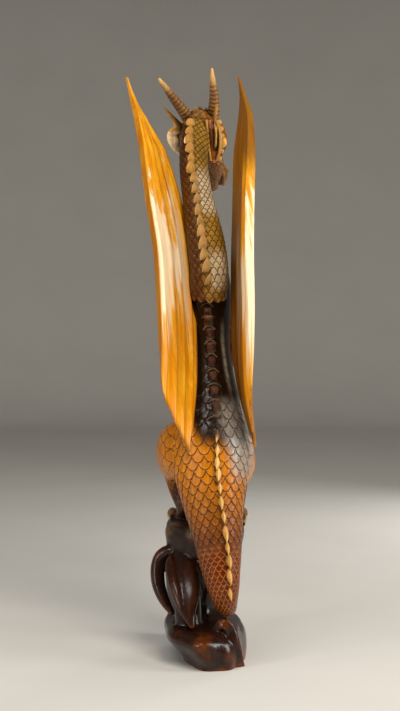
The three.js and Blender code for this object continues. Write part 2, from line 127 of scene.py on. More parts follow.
LIP = ((13, -30, -8, 2.2, 2), (11.5, -46, -9, 2.4, 2.2), (11, -62, -9.5, 2.4, 2.2), (6, -76, -9, 1.6, 1.6))

# Hollow ear that hangs at the right of the neck: its floor and the two rims, the outer one scalloped.
EAR_FLOOR = (
    (-6, -52, 541, 4, 3),
    (-8, -50, 530, 6, 3),
    (-9, -49, 517, 6.5, 3),
    (-9, -49, 506, 4.5, 3),
    (-9, -50, 498, 1.5, 2),
)
EAR_INNER_RIM = (
    (-1.5, -46, 541, 1.4, 3),
    (-2.5, -43, 528, 2, 4),
    (-3.5, -43, 514, 2, 4),
    (-6, -45, 500, 1.4, 3),
)
EAR_OUTER_RIM = (
    (-12, -47, 541, 1.6, 3),
    (-15, -44, 528, 2.2, 4),
    (-15.5, -44, 514, 2.2, 4),
    (-12, -46, 500, 1.6, 3),
)
EAR_SCALLOPS = 6
EAR_SCALLOP_RADII = (3.0, 2.0, 3.0)
EAR_SCALLOP_SHIFT = (-2.0, 0.5, 0.0)

# Eyes and nostrils, in the head's frame.
EYE = (14, -30, 8)
EYE_RADIUS = 5.5
NOSTRIL = (6.2, -68, 4.5)
NOSTRIL_RADIUS = 4.2

# How near the gaze a point of the eyeball is dark, the same for the painted shade that stands for the
# nostril's hole (cosines), how far each of these reaches, and how large its ball is cut, as shares of the
# radius.
PUPIL = 0.86
NOSTRIL_SHADE = 0.78
EYE_LID = 1.2
NOSTRIL_EDGE = 1.25
BALL_SWELL = 1.1

# Gaze: left (or right), forward and up in the head's frame.
GAZE = (0.8, 0.5, 0.25)

# Teeth, fringe behind the cheek and locks on the crown, in the head's frame.
TEETH = 5
FIRST_TOOTH = (6, -72, -8.5)
TOOTH_STEP = (1.6, 8, -0.4)
TEETH_IN_CURVE = 2
TOOTH_RADIUS = 2.0
TOOTH_LENGTH = 6.5
FRINGE_POINTS = 6
FRINGE_START = (15.5, -3, 7)
FRINGE_STEP = (3.2, 4.4)
LOCKS = 5
LOCK_PITCH = 4.5
LOCK_LENGTH = 17.0

# Ear fin: length of its points, how far the web after each reaches, the angle they cover and the root.
EAR_SPIKES = (42, 27, 29, 25)
EAR_WEBS = (0.62, 1.06, 1.02, 1.0)
EAR_SPREAD = 104
EAR_ROOT = (12, -9, 2)
EAR_BACKWARD = (0.43, 0.9, 0.03)
EAR_DOWNWARD = (0.33, -0.12, -0.93)

# Horns, the left one bent outward.
LEFT_HORN = (
    (14, -68, 540, 6.6),
    (22, -55, 551, 5.8),
    (33, -40, 564, 4.2),
    (41, -30, 574, 2.9),
    (46.5, -24, 581, 1.1),
)
RIGHT_HORN = (
    (-6, -73, 536, 7),
    (-9, -62, 549, 6.4),
    (-9.5, -50, 565, 4.8),
    (-8, -40, 579, 3.3),
    (-7, -33, 592, 1.2),
)

# Hind legs: thigh from hip to knee, shank back to the heel and on to the foot.
LEFT_THIGH = (
    (6, 26, 212, 16, 22),
    (19, 14, 209, 22, 29),
    (28, -6, 205, 20, 28.5),
    (33, -28, 193, 15, 21),
    (34, -44, 184, 8, 11),
)
RIGHT_THIGH = (
    (-18, 26, 210, 16, 22),
    (-27, 14, 203, 20, 29),
    (-33, -6, 192, 15, 27),
    (-37, -28, 190, 14, 21),
    (-36, -44, 184, 8, 11),
)
LEFT_SHANK = (
    (33, -40, 185, 11, 11),
    (27, -20, 166, 9.5, 10),
    (22, -8, 152, 8, 8),
    (21, -20, 142, 8, 7),
    (22, -38, 136, 11, 6.5),
)
RIGHT_SHANK = (
    (-35, -40, 185, 11, 11),
    (-33, -20, 166, 9.5, 10),
    (-32, -8, 152, 8, 8),
    (-30, -20, 142, 8, 7),
    (-28, -38, 136, 11, 6.5),
)
TOES = 3
TOE_SPREAD = 9.0
TOE_LENGTH = 26.0
TOE_RADIUS = 5.0

# Fore legs, held bent in front of the belly.
ARM = (
    (10, -20, 360, 6, 8),
    (20, -26, 342, 11, 13),
    (31, -30, 322, 10.5, 11.5),
    (35, -36, 302, 8.5, 9),
    (29, -52, 296, 7.5, 8),
    (22, -66, 300, 6.5, 7),
    (19, -74, 302, 7.5, 6),
)
ARM_FADE = 9.0
FINGERS = 3
FINGER_SPREAD = 5.0
FINGER_LENGTH = 18.0
FINGER_RADIUS = 3.2

# Rock: cross-sections from the underside to the top the feet stand on.
ROCK = (
    (-9, 0, -6, 30, 66),
    (-9, 0, 3, 31.5, 69),
    (-6, 1, 13, 35, 75),
    (0, 1, 24, 40, 77),
    (2, 0, 31, 39, 75),
    (3, -5, 36, 36, 67),
    (7, -21, 39, 30, 45),
    (8, -26, 54, 30, 39),
    (6, -25, 84, 34, 43),
    (1, -25, 110, 38, 46),
    (1, -25, 124, 40, 46),
    (1, -25, 132, 37, 43),
    (1, -25, 135, 28, 33),
)
ROCK_LOBES = 7
ROCK_LOBE_DEPTH = 0.03

# Swirls carved round the rock: start angle, turn, foot, top, how far out and how full.
SWIRLS = (
    (-22, -46, 32, 102, 3, 11),
    (-78, -38, 26, 94, 4, 12),
    (-112, 36, 64, 120, 3, 11),
    (-148, -38, 30, 104, 3, 12),
)

# Broad leaf down the back of the rock, the swell under it, its rolled left edge, the crescent at its left
# and the crest of the ledge.
TONGUE = (
    (24, 0, 104, 9, 6),
    (21, 14, 96, 14, 8),
    (19, 28, 85, 15, 8),
    (17, 40, 72, 13, 7),
    (16, 49, 57, 8, 6),
    (12, 57, 40, 2, 3),
)
TONGUE_BODY = (
    (18, -10, 100, 12, 12),
    (19, 6, 84, 15, 13),
    (18, 18, 64, 14, 14),
    (15, 28, 26, 13, 12),
)
TONGUE_ROLL = (
    (34, 4, 101, 3),
    (34, 16, 95, 6),
    (31.5, 29, 85, 6.5),
    (28, 40, 73, 6),
    (23, 49, 59, 4.5),
    (13, 58, 40, 1.5),
)
CRESCENT = (
    (30, -2, 104, 3, 4),
    (37, -6, 105, 6, 6),
    (45, -9, 98, 7, 7.5),
    (48, -8, 85, 7.5, 8),
    (46.5, -3, 70, 7, 7.5),
    (40.5, 4, 56, 5.5, 6),
    (32, 10, 44, 3, 4),
)
LEDGE_CREST = (
    (-9, 46, 31, 6, 6),
    (-18, 54, 43.5, 7, 7),
    (-24, 53, 36, 7.5, 8),
    (-27.5, 53, 23, 8, 9),
    (-30, 49, 10, 8, 8),
    (-32, 42, -1, 8, 8),
)

# Wings. Levels: height, inner (arm) edge x and y, outer (trailing) edge x and y. Fingers: share across the
# wing and height of the foot. Rim: how much thicker the outer edge is. Bevel: how far its outer face is cut
# back. Pale: heights of the cream streaks in the grain, a painted highlight of the varnish's glare. Pale rim:
# how much of the outer edge carries that painted highlight instead of brown. Shaded: shares across the wing
# between which the painted shade by the arm fades, and where the darkening of the tip begins. Outward: 1
# left, -1 right.
LEFT_WING = {
    "levels": (
        (579, 77.2, -1, 77.6, 1),
        (562, 71.5, -4, 73.5, 7),
        (540, 61, -8, 67.5, 26),
        (508, 43, -12, 62, 46),
        (456, 27, -12, 55.5, 68),
        (405, 17.5, -8, 47.5, 84),
        (355, 13, 0, 44.5, 92),
        (306, 11, 14, 42.5, 96),
        (265, 11, 38, 42, 98),
        (222, 13, 58, 37, 96),
    ),
    "fingers": ((0, 234), (0.12, 213), (0.36, 226), (0.6, 240), (0.88, 264), (1, 288)),
    "rim": 0.6,
    "bevel": 0.05,
    "pale": (330, 470),
    "pale_rim": 0.0,
    "shaded": (0.0, 0.05, 600),
    "outward": 1,
}
RIGHT_WING = {
    "levels": (
        (580, -33, -1, -33.6, 1),
        (562, -35.5, -4, -38.5, 8),
        (540, -36, -8, -44, 28),
        (508, -33, -11, -45, 46),
        (456, -32, -11, -43, 68),
        (405, -30.5, -8, -42.5, 84),
        (355, -30, 0, -44, 92),
        (306, -31, 8, -44, 95),
        (265, -37, 18, -44, 92),
        (216, -48, 34, -50, 66),
    ),
    "fingers": ((0, 226), (0.3, 216), (0.62, 232), (0.86, 254), (1, 276)),
    "rim": 2.2,
    "bevel": 0.1,
    "pale": (300, 440),
    "pale_rim": 0.95,
    "shaded": (0.35, 0.7, 468),
    "outward": -1,
}

# Make of both wings: half thickness of panel, finger and arm, depth of pleats and scallops, where arm and rim
# end or begin, rounding of the edge, slimness of tip and foot, gouge marks, and the gap to the body.
WING_PANEL = 2.6
WING_FINGER = 0.7
WING_ARM = 2.2
WING_PLEAT = 1.3
WING_SCALLOP = 6.0
WING_ARM_ENDS = 0.2
WING_ARM_TAPER = 0.6
WING_RIM_BEGINS = 0.86
WING_EDGE = 1.3
WING_TIP_SHARE = 0.4
WING_TIP_ENDS = 0.14
WING_FOOT_SLIM = 0.55
WING_FOOT_BEGINS = 0.86
WING_GOUGE = 0.1
WING_GOUGES = 61
WING_SEAT_GAP = 0.5

# Stain of the wings: fade and wave of the ends of the cream streaks, a painted highlight of the varnish's
# glare, their strength on the inner and outer face, the finger with the dark crease, breadth of a vein, and
# shares across or down the wing where brown edges begin.
PALE_FADE = 60.0
PALE_WAVE = 26.0
GLARE_INSIDE = 0.85
GLARE_OUTSIDE = 0.4
GLARE_BEGINS = (0.1, 0.3)
PALE_RIM_BEGINS = (0.84, 0.9)
CREASE_NEAR = 0.34
CREASE_FADES = (0.4, 0.6)
VEIN_BREADTH = 0.025
OUTER_EDGE = (0.965, 1)
INNER_EDGE = (0, 0.03)
FOOT_EDGE = (0.975, 1)
DARK_TIP_FADE = 40

# Spines of the ridge: spacing, height, half width and length, lean along the ridge as a share of the spacing,
# sideways offset and sweep in millimetres, squareness, and (rise, lean, fullness) up each.
NECK_SPINES = {
    "pitch": 10.6,
    "height": 5.5,
    "half_width": 2.0,
    "half_length": 8.0,
    "lean": 0.6,
    "offset": 4,
    "sweep": -6.5,
    "squareness": 1.35,
    "profile": ((0, 0, 1), (0.5, 0.2, 0.95), (0.85, 0.6, 0.6), (1, 1, 0.1)),
}
BACK_SPINES = {
    "pitch": 16.5,
    "height": 3.6,
    "half_width": 5,
    "half_length": 6.2,
    "lean": 0.1,
    "offset": 0,
    "sweep": 0,
    "squareness": 3.0,
    "profile": ((0, 0, 1), (0.6, 0.2, 0.95), (0.88, 0.6, 0.8), (1, 1, 0.5)),
}
TAIL_SPINES = {
    "pitch": 13.5,
    "height": 7,
    "half_width": 3.0,
    "half_length": 6.8,
    "lean": 0.75,
    "offset": 0,
    "sweep": 2.5,
    "squareness": 1.4,
    "profile": ((0, 0, 1), (0.5, 0.2, 0.88), (0.85, 0.6, 0.5), (1, 1, 0.08)),
}

# How deep each spine is let into its form, and how much the spines vary, as cut by hand.
SPINE_SINK = 4.0
SPINE_UNEVEN = 0.14

# Where each ridge starts and ends, as shares along its form.
NECK_RIDGE = (0.86, 0.09)
BACK_RIDGE = (0.15, 0.405)
TAIL_RIDGE = (0.41, 0.745)

# Raised arches between the plates of the middle back: half their angle, drop of the ends and thickness.
ARCH_SPREAD = 0.26
ARCH_DROP = 4.0
ARCH_RADIUS = 1.2

# How far plates and arches stand out of the form where their own stain begins and where it is full.
PLATE_PROUD = 0.6
PLATE_STAIN = (0.5, 3)
NECK_PLATE_STAIN = (0.5, 2.5)
ARCH_PROUD = 0.4
ARCH_STAIN = (0.3, 1.0)

# How near the spine plates and arches lie, as the sine of the angle, and how far the last plate overhangs.
PLATE_SIDE = 0.75
NECK_PLATE_SIDE = 0.3
ARCH_SIDE = 0.8
RIDGE_OVERHANG = 4

# Share of the plates' spacing that an arch takes up on either side, and the height where plates turn gold.
ARCH_SHARE = 0.26
GOLD_BELOW = 228
GOLD_FADE = 5

# Sides of the trunk, by the sine (back) or cosine (right) of the angle: where each begins and is full.
BACK_SIDE = (-0.35, 0.25)
SPINE_SIDE = (0.6, 1)
RIGHT_SIDE = (0.2, 0.8)

# Dark stain of the back, partly painted shade under the neck and between the wings: height where it ends, how
# much lower on the spine and the right flank, and its fade.
DARK_ENDS = 252
DARK_ON_SPINE = 34
DARK_ON_RIGHT = 36
DARK_FADE = 12

# Shares of the trunk between which scales begin on the back, the belly plates fade into the tail, the hips'
# stain turns to the tail's, and the cuts round the scales turn from dark to a golden painted highlight.
SCALES_BEGIN = (0.34, 0.41)
BELLY_ENDS = (0.5, 0.6)
LOWER_TAIL = (0.47, 0.72)
CUT_HIGHLIGHT_BEGINS = (0.66, 0.7)

# Angle from the middle of the belly where its plates end, and how many plates there are to a row of scales.
BELLY_EDGE = (0.66, 0.74)
BELLY_PLATES = 0.8

# Heights between which the neck's scales carry a painted highlight of the varnish, and the cosines where its
# sides change: the painted highlight on its right, and darker brown with painted shade on its left.
NECK_HIGHLIGHT = ((438, 452, 478, 496), (366, 374, 396, 414))
NECK_HIGHLIGHT_SIDE = (0.1, 0.35)
NECK_SHADE_SIDE = (0.05, 0.4)
NECK_PLATES_END = 366

# Painted highlight standing in for the glare of the varnish: a streak down the right of the back, with the
# waves that break it up, and a patch on the right haunch. Slant of its border: a height in its middle, and
# the rise that moves it by 1.
HIGHLIGHT_ANGLE = 2.2
HIGHLIGHT_WIDTH = 0.085
HIGHLIGHT_STREAK = (254, 292, 308, 346)
HIGHLIGHT_WAVES = (0.9, 0.37)
HIGHLIGHT_HAUNCH = (176, 196, 250, 268)
HIGHLIGHT_SLANT = (222, 160)
HIGHLIGHT_SIDE = (0.05, 0.45)
HIGHLIGHT_ON_THIGH = (-14, 6)
HIGHLIGHT_SHARE = 0.85
THIGH_HIGHLIGHT_SHARE = 0.8

# Shares along a shank between which it turns to the foot's stain, and along a horn to the bare tip's.
FOOT_STAIN = (0.1, 0.5)
HORN_TIP_STAIN = (0.66, 0.94)

# Points further than this from every form, in millimetres, belong to the small details.
STRAY = 2.0

# Where those details lie: frill and left flap on the head, fingers before the belly, swirls on the rock.
HEAD_ABOVE = 480
FLAP_BELOW = 531
FLAP_LEFT_OF = 20
FINGERS_BELOW = 340
FINGERS_BEFORE = -50
ROCK_BELOW = 122
ROCK_DETAILS_BELOW = 125
LEG_SKIN = 1.5

# Settings of shader nodes: an eased range, and a mix of two colours, which uses its sockets 6 and 7.
EASED = {"interpolation_type": "SMOOTHSTEP"}
COLOURS = {"data_type": "RGBA", "output": 2}

# Varnish: strength of its shine, and the roughness between which it varies.
VARNISH_SHINE = 0.27
VARNISH_ROUGH = (0.28, 0.4)

# Studio floor, in metres: its breadth, how far it is flat, and how high it sweeps up round the statue.
STAGE_SIZE = 11.0
STAGE_FLAT = 2.4
STAGE_RISE = 3.2

# Feelers sent out from each point to find how sheltered it is, and how far they reach.
SHELTER_RAYS = 8
SHELTER_REACH = 40.0

# Studio lights: name, place and size in metres, power in watts, colour, point it is turned to, and whether
# its reflection shows in the varnish.
WARM = (1.0, 0.94, 0.86)
WHITE = (1.0, 0.99, 0.97)
LIGHTS = (
    ("key_right", (-1.1, 0.34, 0.4), (0.2, 0.5), 5.0, WHITE, (0, 0, 0.36), True),
    ("glint_right", (-1.0, 0.5, 0.8), (0.2, 0.24), 2.5, WHITE, (0, 0, 0.45), True),
    ("key_front_right", (-0.75, -0.95, 0.42), (0.4, 0.34), 6.0, WHITE, (0, 0, 0.36), False),
    ("soft_above", (-0.6, 1.6, 1.8), (1.0, 1.0), 48.0, WARM, (0, 0, 0.36), False),
    ("shine_above", (0.4, 0.9, 1.3), (0.6, 0.3), 6.0, WHITE, (0, 0, 0.1), True),
    ("glint_left", (0.8, 0.75, 0.42), (0.14, 0.26), 2.6, WHITE, (0, 0, 0.08), True),
    ("fill_left", (1.4, 0.5, 0.5), (0.5, 0.7), 2.5, WARM, (0, 0, 0.2), True),
)
WORLD_COLOUR = "#d8d6d2"
WORLD_STRENGTH = 0.16

# Edges sharper than this show as crisp edges.
SHARP_DEG = 48

# Photograph's view: straight from behind, slightly above, one millimetre of the statue to a pixel.
AIM = (5, 0, 303)
CAMERA_DISTANCE = 1600
CAMERA_HEIGHT_DEG = 3.0
IMAGE_HEIGHT = 711
SENSOR = 36.0


class DragonSizes(bpy.types.PropertyGroup):
    """Sizes of the carving that a user would change."""

    mass_voxel: bpy.props.FloatProperty(
        name="Rough cut", description="Finest step of the rough carving, in mm", default=1.3, min=0.5)
    fine_voxel: bpy.props.FloatProperty(
        name="Fine cut", description="Finest step of the finished carving, in mm", default=0.8, min=0.5)
    scale_relief: bpy.props.FloatProperty(
        name="Scale relief", description="Height of a scale's free edge over the next, in mm", default=0.9)
    triangles: bpy.props.IntProperty(
        name="Triangles", description="Most triangles the dragon may have", default=196000)
    wing_columns: bpy.props.IntProperty(
        name="Wing columns", description="Mesh columns across a wing", default=110)
    wing_rows: bpy.props.IntProperty(
        name="Wing rows", description="Mesh rows down a wing", default=240)


def stain_setting(name, description, default):
    """Colour that a user can change, as an sRGB hex value."""
    return bpy.props.StringProperty(name=name, description=description, default=default)


class DragonColours(bpy.types.PropertyGroup):
    """Stains of the carving as sRGB hex values."""

    hip: stain_setting("Hip stain", "Amber brown of hips and thighs", "#c07200")
    tail: stain_setting("Tail stain", "Deeper brown of the lower tail", "#581c00")
    # Partly painted shade: the middle back lies under the neck and between the wings.
    back: stain_setting("Back stain", "Near black brown of the middle back", "#1a0e08")
    back_plate: stain_setting("Back plates", "Dark red brown of the middle back's plates", "#3c160a")
    neck: stain_setting("Neck stain", "Golden brown of the neck", "#886422")
    # Partly painted shade: darker brown on the neck's left side and on the sides of the dark back.
    neck_shade: stain_setting("Neck shade", "Dark brown of the neck's left side", "#5a300e")
    belly: stain_setting("Belly stain", "Lighter brown of the belly plates", "#b8842c")
    spine: stain_setting("Spine stain", "Worn gold of the ridge", "#d4aa60")
    horn: stain_setting("Horn stain", "Grey brown of the horns", "#6a4620")
    horn_tip: stain_setting("Horn tips", "Pale bare wood of the horn tips", "#c49a5c")
    frill: stain_setting("Frill stain", "Orange of the ear fins", "#a47638")
    flap: stain_setting("Left flap", "Cream of the left ear's lower flap", "#cdb088")
    ear: stain_setting("Ear hollow", "Orange inside of the hanging ear", "#b8641c")
    # Also used as painted shade in the holes of the nostrils.
    eye: stain_setting("Eye", "Amber of the eyes", "#d89c2c")
    pupil: stain_setting("Pupil", "Near black of pupils and nostrils", "#140a06")
    head: stain_setting("Head stain", "Brown of the face", "#7a4c18")
    foot: stain_setting("Foot stain", "Dark brown of the feet", "#4a2810")
    tooth: stain_setting("Tooth colour", "Pale wood of teeth and claws", "#c8a468")
    rock: stain_setting("Rock stain", "Dark brown of the rock", "#24110a")
    rock_worn: stain_setting("Rock wear", "Orange wood showing on rock edges", "#6e3404")
    # Also used as painted shade in deep recesses and sheltered places.
    groove_and_shade: stain_setting("Groove stain", "Dark stain left in the cuts", "#1e0e05")
    wing: stain_setting("Wing stain", "Orange of the wings", "#d08006")
    wing_deep: stain_setting("Wing grain", "Deep orange of the wing grain", "#b46204")
    wing_pale: stain_setting("Wing pale grain", "Pale streaks of the wing grain", "#e6a824")
    neck_spine: stain_setting("Neck plates", "Pale gold of the plates down the neck", "#9c7846")
    arch: stain_setting("Arches", "Rubbed brown of the arches over the back's plates", "#584430")
    # Painted shade on the right wing's inner face by the arm, also darkening its tip.
    wing_shade: stain_setting("Wing shade", "Dark brown stain near the arm of the right wing", "#5a3210")
    # Painted highlight: grey glare of the varnish on the right haunch and thigh.
    bloom: stain_setting("Varnish bloom", "Silver grey of the varnish on the right flank", "#928b80")
    worn: stain_setting("Worn edges", "Bare wood on rubbed edges of the dragon", "#c8a068")
    # Painted highlight: golden lines in the cuts of the lower tail, where its relief catches the light; it
    # also tints the plates there.
    gilt_line: stain_setting("Light cuts", "Golden lines between the scales of the lower tail", "#b8701c")
    # Painted highlight: cream glare of the varnish, as streaks in the wings' grain, and on the neck and the
    # right of the back.
    sapwood: stain_setting("Sapwood", "Cream streaks in the middle of the wings", "#ecdcba")
    wing_edge: stain_setting("Wing edge", "Brown of the wing's edges", "#7c4008")
    floor: stain_setting("Floor", "Pale grey of the studio floor", "#cfccc6")


def linear(hex_colour):
    """Linear red, green, blue and alpha of an sRGB hex value."""
    parts = [int(hex_colour[i:i + 2], 16) / 255 for i in (1, 3, 5)]
    return [p / 12.92 if p <= 0.04045 else ((p + 0.055) / 1.055) ** 2.4 for p in parts] + [1.0]


def unit(rows):
    """Rows scaled to length one."""
    rows = np.asarray(rows, float)
    return rows / np.maximum(np.linalg.norm(rows, axis=-1, keepdims=True), 1e-9)


def smoothstep(value, low, high):
    """0 below low, 1 above high, eased between."""
    part = np.clip((value - low) / (high - low), 0, 1)
    return part * part * (3 - 2 * part)


def within(value, band):
    """1 between the middle two of four limits, fading to 0 at the outer two."""
    return smoothstep(value, band[0], band[1]) * (1 - smoothstep(value, band[2], band[3]))


def smooth_line(rows, per_gap):
    """Rows on a smooth curve through the given rows, per_gap steps from each to the next."""
    rows = np.asarray(rows, float)
    padded = np.vstack([2 * rows[0] - rows[1], rows, 2 * rows[-1] - rows[-2]])
    start, end = padded[1:-2, None], padded[2:-1, None]
    leaving = 0.5 * (end - padded[:-3, None])
    arriving = 0.5 * (padded[3:, None] - start)
    t = (np.arange(per_gap) / per_gap)[None, :, None]
    square = (-3 * start + 3 * end - 2 * leaving - arriving) * t ** 2
    cube = (2 * start - 2 * end + leaving + arriving) * t ** 3
    curve = start + leaving * t + square + cube
    return np.vstack([curve.reshape(-1, rows.shape[1]), rows[-1]])


def full_station(station):
    """Station with its depth and twist filled in."""
    x, y, z, width, *rest = station
    depth = rest[0] if rest else width
    twist = rest[1] if len(rest) > 1 else 0
    return (x, y, z, width, depth, twist)


class Form:
    """Oval sections along a smooth line, square to it or level.

    The side away from the belly is carried along, so that the form doesn't twist of itself.
    """

    def __init__(self, stations, dorsal, per_gap=12, level=False):
        curve = smooth_line([full_station(s) for s in stations], per_gap)
        self.centre = curve[:, :3]
        self.width = np.maximum(curve[:, 3], SLIMMEST)
        self.depth = np.maximum(curve[:, 4], SLIMMEST)
        self.tangent = unit(np.gradient(self.centre, axis=0))
        self.level = level
        if level:
            self.tangent[:] = UP
        ups = []
        facing = np.asarray(dorsal, float)
        for tangent, twist in zip(self.tangent, np.radians(-curve[:, 5])):
            facing = unit(facing - tangent * facing.dot(tangent))
            ups.append(facing * math.cos(twist) + np.cross(tangent, facing) * math.sin(twist))
        self.up = np.array(ups)
        self.side = np.cross(self.tangent, self.up)
        steps = np.linalg.norm(np.diff(self.centre, axis=0), axis=1)
        self.walked = np.concatenate([[0], np.cumsum(steps)])

    def section(self, along):
        """Centre, side, up, tangent, width and depth at shares along the form."""
        place = np.clip(np.asarray(along, float), 0, 1) * (len(self.centre) - 1)
        low = np.minimum(place.astype(int), len(self.centre) - 2)
        part = place - low
        rows = (self.centre, self.side, self.up, self.tangent)
        vectors = [r[low] * (1 - part)[..., None] + r[low + 1] * part[..., None] for r in rows]
        sizes = [r[low] * (1 - part) + r[low + 1] * part for r in (self.width, self.depth)]
        return (*vectors, *sizes)

    def locate(self, points):
        """Distance walked, angle round the line, and gap to the form's surface, for each point."""
        low = self.centre.min(axis=0) - 2 * self.depth.max()
        high = self.centre.max(axis=0) + 2 * self.depth.max()
        near = np.all((points > low) & (points < high), axis=1)
        walked = np.zeros(len(points))
        angle = np.zeros(len(points))
        gap = np.full(len(points), 1e3)
        chosen = np.flatnonzero(near)
        for some in np.array_split(chosen, max(1, len(chosen) // 20000)):
            if len(some) == 0:
                continue
            part = points[some]
            square = (part ** 2).sum(1)[:, None] - 2 * part @ self.centre.T + (self.centre ** 2).sum(1)
            if self.level:
                square = np.abs(part[:, 2][:, None] - self.centre[:, 2])
            best = np.argmin(square, axis=1)
            away = part - self.centre[best]
            ahead = (away * self.tangent[best]).sum(1)
            x = (away * self.side[best]).sum(1)
            z = (away * self.up[best]).sum(1)
            reach = np.maximum(np.hypot(x / self.width[best], z / self.depth[best]), 1e-6)
            past = np.where(best == 0, -ahead, np.where(best == len(self.centre) - 1, ahead, 0))
            walked[some] = self.walked[best] + ahead
            angle[some] = np.arctan2(z / self.depth[best], x / self.width[best])
            radial = np.hypot(x, z) * (1 - 1 / reach)
            gap[some] = np.where(past > 0, np.hypot(np.maximum(radial, 0), past), radial)
        return walked, angle, gap


def read_points(obj):
    """Vertex positions of a mesh object in millimetres."""
    flat = np.empty(len(obj.data.vertices) * 3)
    obj.data.vertices.foreach_get("co", flat)
    return flat.reshape(-1, 3) / MM


def write_points(obj, points):
    """Sets vertex positions of a mesh object from millimetres."""
    obj.data.vertices.foreach_set("co", (np.asarray(points) * MM).ravel())
    obj.data.update()


def read_normals(obj):
    """Vertex normals of a mesh object."""
    flat = np.empty(len(obj.data.vertices) * 3)
    obj.data.vertex_normals.foreach_get("vector", flat)
    return flat.reshape(-1, 3)


def add_tube(form, sides, rings, squareness=2.0, lobes=None, grow=0.0):
    """Closed tube over a form: a ball whose rings are slid along the form's line."""
    bpy.ops.object.select_all(action="DESELECT")
    bpy.ops.mesh.primitive_uv_sphere_add(segments=sides, ring_count=rings, radius=1.0)
    tube = bpy.context.object
    ball = read_points(tube) * MM
    ring = np.rint(np.arccos(np.clip(ball[:, 2], -1, 1)) / math.pi * rings)
    along = np.clip((ring - 1) / (rings - 2), 0, 1)
    open_ring = (ring > 0) & (ring < rings)
    angle = np.arctan2(ball[:, 1], ball[:, 0])
    power = 2 / squareness
    across = np.sign(np.cos(angle)) * np.abs(np.cos(angle)) ** power * open_ring
    upward = np.sign(np.sin(angle)) * np.abs(np.sin(angle)) ** power * open_ring
    centre, side, up, _, width, depth = form.section(along)
    swell = 1.0 if lobes is None else lobes(angle, along)
    place = centre + side * (across * (width * swell + grow))[:, None]
    place = place + up * (upward * (depth * swell + grow))[:, None]
    write_points(tube, place)
    return tube


def add_ball(centre, radii):
    """Egg shaped bump at a place."""
    bpy.ops.object.select_all(action="DESELECT")
    bpy.ops.mesh.primitive_uv_sphere_add(segments=20, ring_count=12, radius=1.0)
    bump = bpy.context.object
    write_points(bump, read_points(bump) * MM * np.asarray(radii) + np.asarray(centre))
    return bump


def add_slab(columns, rows):
    """Thin closed slab of grid faces: object, share across, share down and side of each vertex."""
    bpy.ops.object.select_all(action="DESELECT")
    bpy.ops.mesh.primitive_grid_add(x_subdivisions=columns, y_subdivisions=rows, size=1.0)
    slab = bpy.context.object
    apply_modifier(slab, "SOLIDIFY", thickness=0.2, offset=0.0)
    places = read_points(slab) * MM
    return slab, places[:, 0] + 0.5, 0.5 - places[:, 1], np.sign(places[:, 2])


def select_only(*objects):
    """Selects these objects alone and makes the first the active one."""
    bpy.ops.object.select_all(action="DESELECT")
    for obj in objects:
        obj.select_set(True)
    bpy.context.view_layer.objects.active = objects[0]


def face_outward(obj):
    """Turns all faces of a closed mesh outward."""
    select_only(obj)
    bpy.ops.object.mode_set(mode="EDIT")
    bpy.ops.mesh.select_all(action="SELECT")
    bpy.ops.mesh.normals_make_consistent(inside=False)
    bpy.ops.object.mode_set(mode="OBJECT")


def apply_modifier(obj, kind, **settings):
    """Adds one modifier with its settings and applies it."""
    select_only(obj)
    modifier = obj.modifiers.new(kind.lower(), kind)
    for key, value in settings.items():
        setattr(modifier, key, value)
    bpy.ops.object.modifier_apply(modifier=modifier.name)


def join(objects, name):
    """One object made of several."""
    select_only(*objects)
    bpy.ops.object.join()
    objects[0].name = name
    objects[0].data.name = name
    return objects[0]


def remesh(obj, voxel):
    """Joins overlapping closed forms into one skin with steps of a voxel, in millimetres."""
    select_only(obj)
    obj.data.remesh_voxel_size = voxel * MM
    obj.data.use_remesh_fix_poles = False
    bpy.ops.object.voxel_remesh()


def head_frame():
    """Left, nape and crown directions of the head."""
    nape = -unit(HEAD_FACING)
    left = unit(np.cross(nape, UP))
    return left, nape, np.cross(left, nape)


def in_head(place):
    """Place given in the head's frame, in the statue's frame."""
    left, nape, crown = head_frame()
    return np.asarray(HEAD_AT) + left * place[0] + nape * place[1] + crown * place[2]


def head_form(stations, side=1):
    """Form given in the head's frame, mirrored to its right where side is -1."""
    rows = [(side * s[0], *s[1:]) for s in stations]
    return Form([(*in_head(r[:3]), *r[3:]) for r in rows], head_frame()[2])


def mirrored(stations):
    """Stations of the other side."""
    return [(-s[0], *s[1:]) for s in stations]


FORMS = {
    "trunk": Form(TRUNK, BACK),
    "neck": Form(NECK, BACK),
    "left_thigh": Form(LEFT_THIGH, UP),
    "right_thigh": Form(RIGHT_THIGH, UP),
    "left_shank": Form(LEFT_SHANK, FRONT),
    "right_shank": Form(RIGHT_SHANK, FRONT),
    "left_arm": Form(ARM, FRONT),
    "right_arm": Form(mirrored(ARM), FRONT),
    "skull": head_form(SKULL),
    "jaw": head_form(JAW),
    "left_brow": head_form(BROW),
    "right_brow": head_form(BROW, -1),
    "left_cheek": head_form(CHEEK),
    "right_cheek": head_form(CHEEK, -1),
    "left_jowl": head_form(JOWL),
    "right_jowl": head_form(JOWL, -1),
    "left_lip": head_form(LIP),
    "right_lip": head_form(LIP, -1),
    "ear_floor": Form(EAR_FLOOR, BACK),
    "left_horn": Form(LEFT_HORN, UP),
    "right_horn": Form(RIGHT_HORN, UP),
    "rock": Form(ROCK, BACK, level=True),
}

# Scales round each scaled form.
SCALE_COLUMNS = {
    "trunk": 18,
    "neck": 16,
    "left_thigh": 13,
    "right_thigh": 13,
    "left_shank": 10,
    "right_shank": 10,
    "left_arm": 10,
    "right_arm": 10,
    "skull": 17,
    "jaw": 13,
    "left_cheek": 9,
    "right_cheek": 9,
    "left_jowl": 11,
    "right_jowl": 11,
}
SCALE_ASPECT = 1.3
SCALE_HALF_WIDTH = 0.6
SCALE_REACH = 1.0

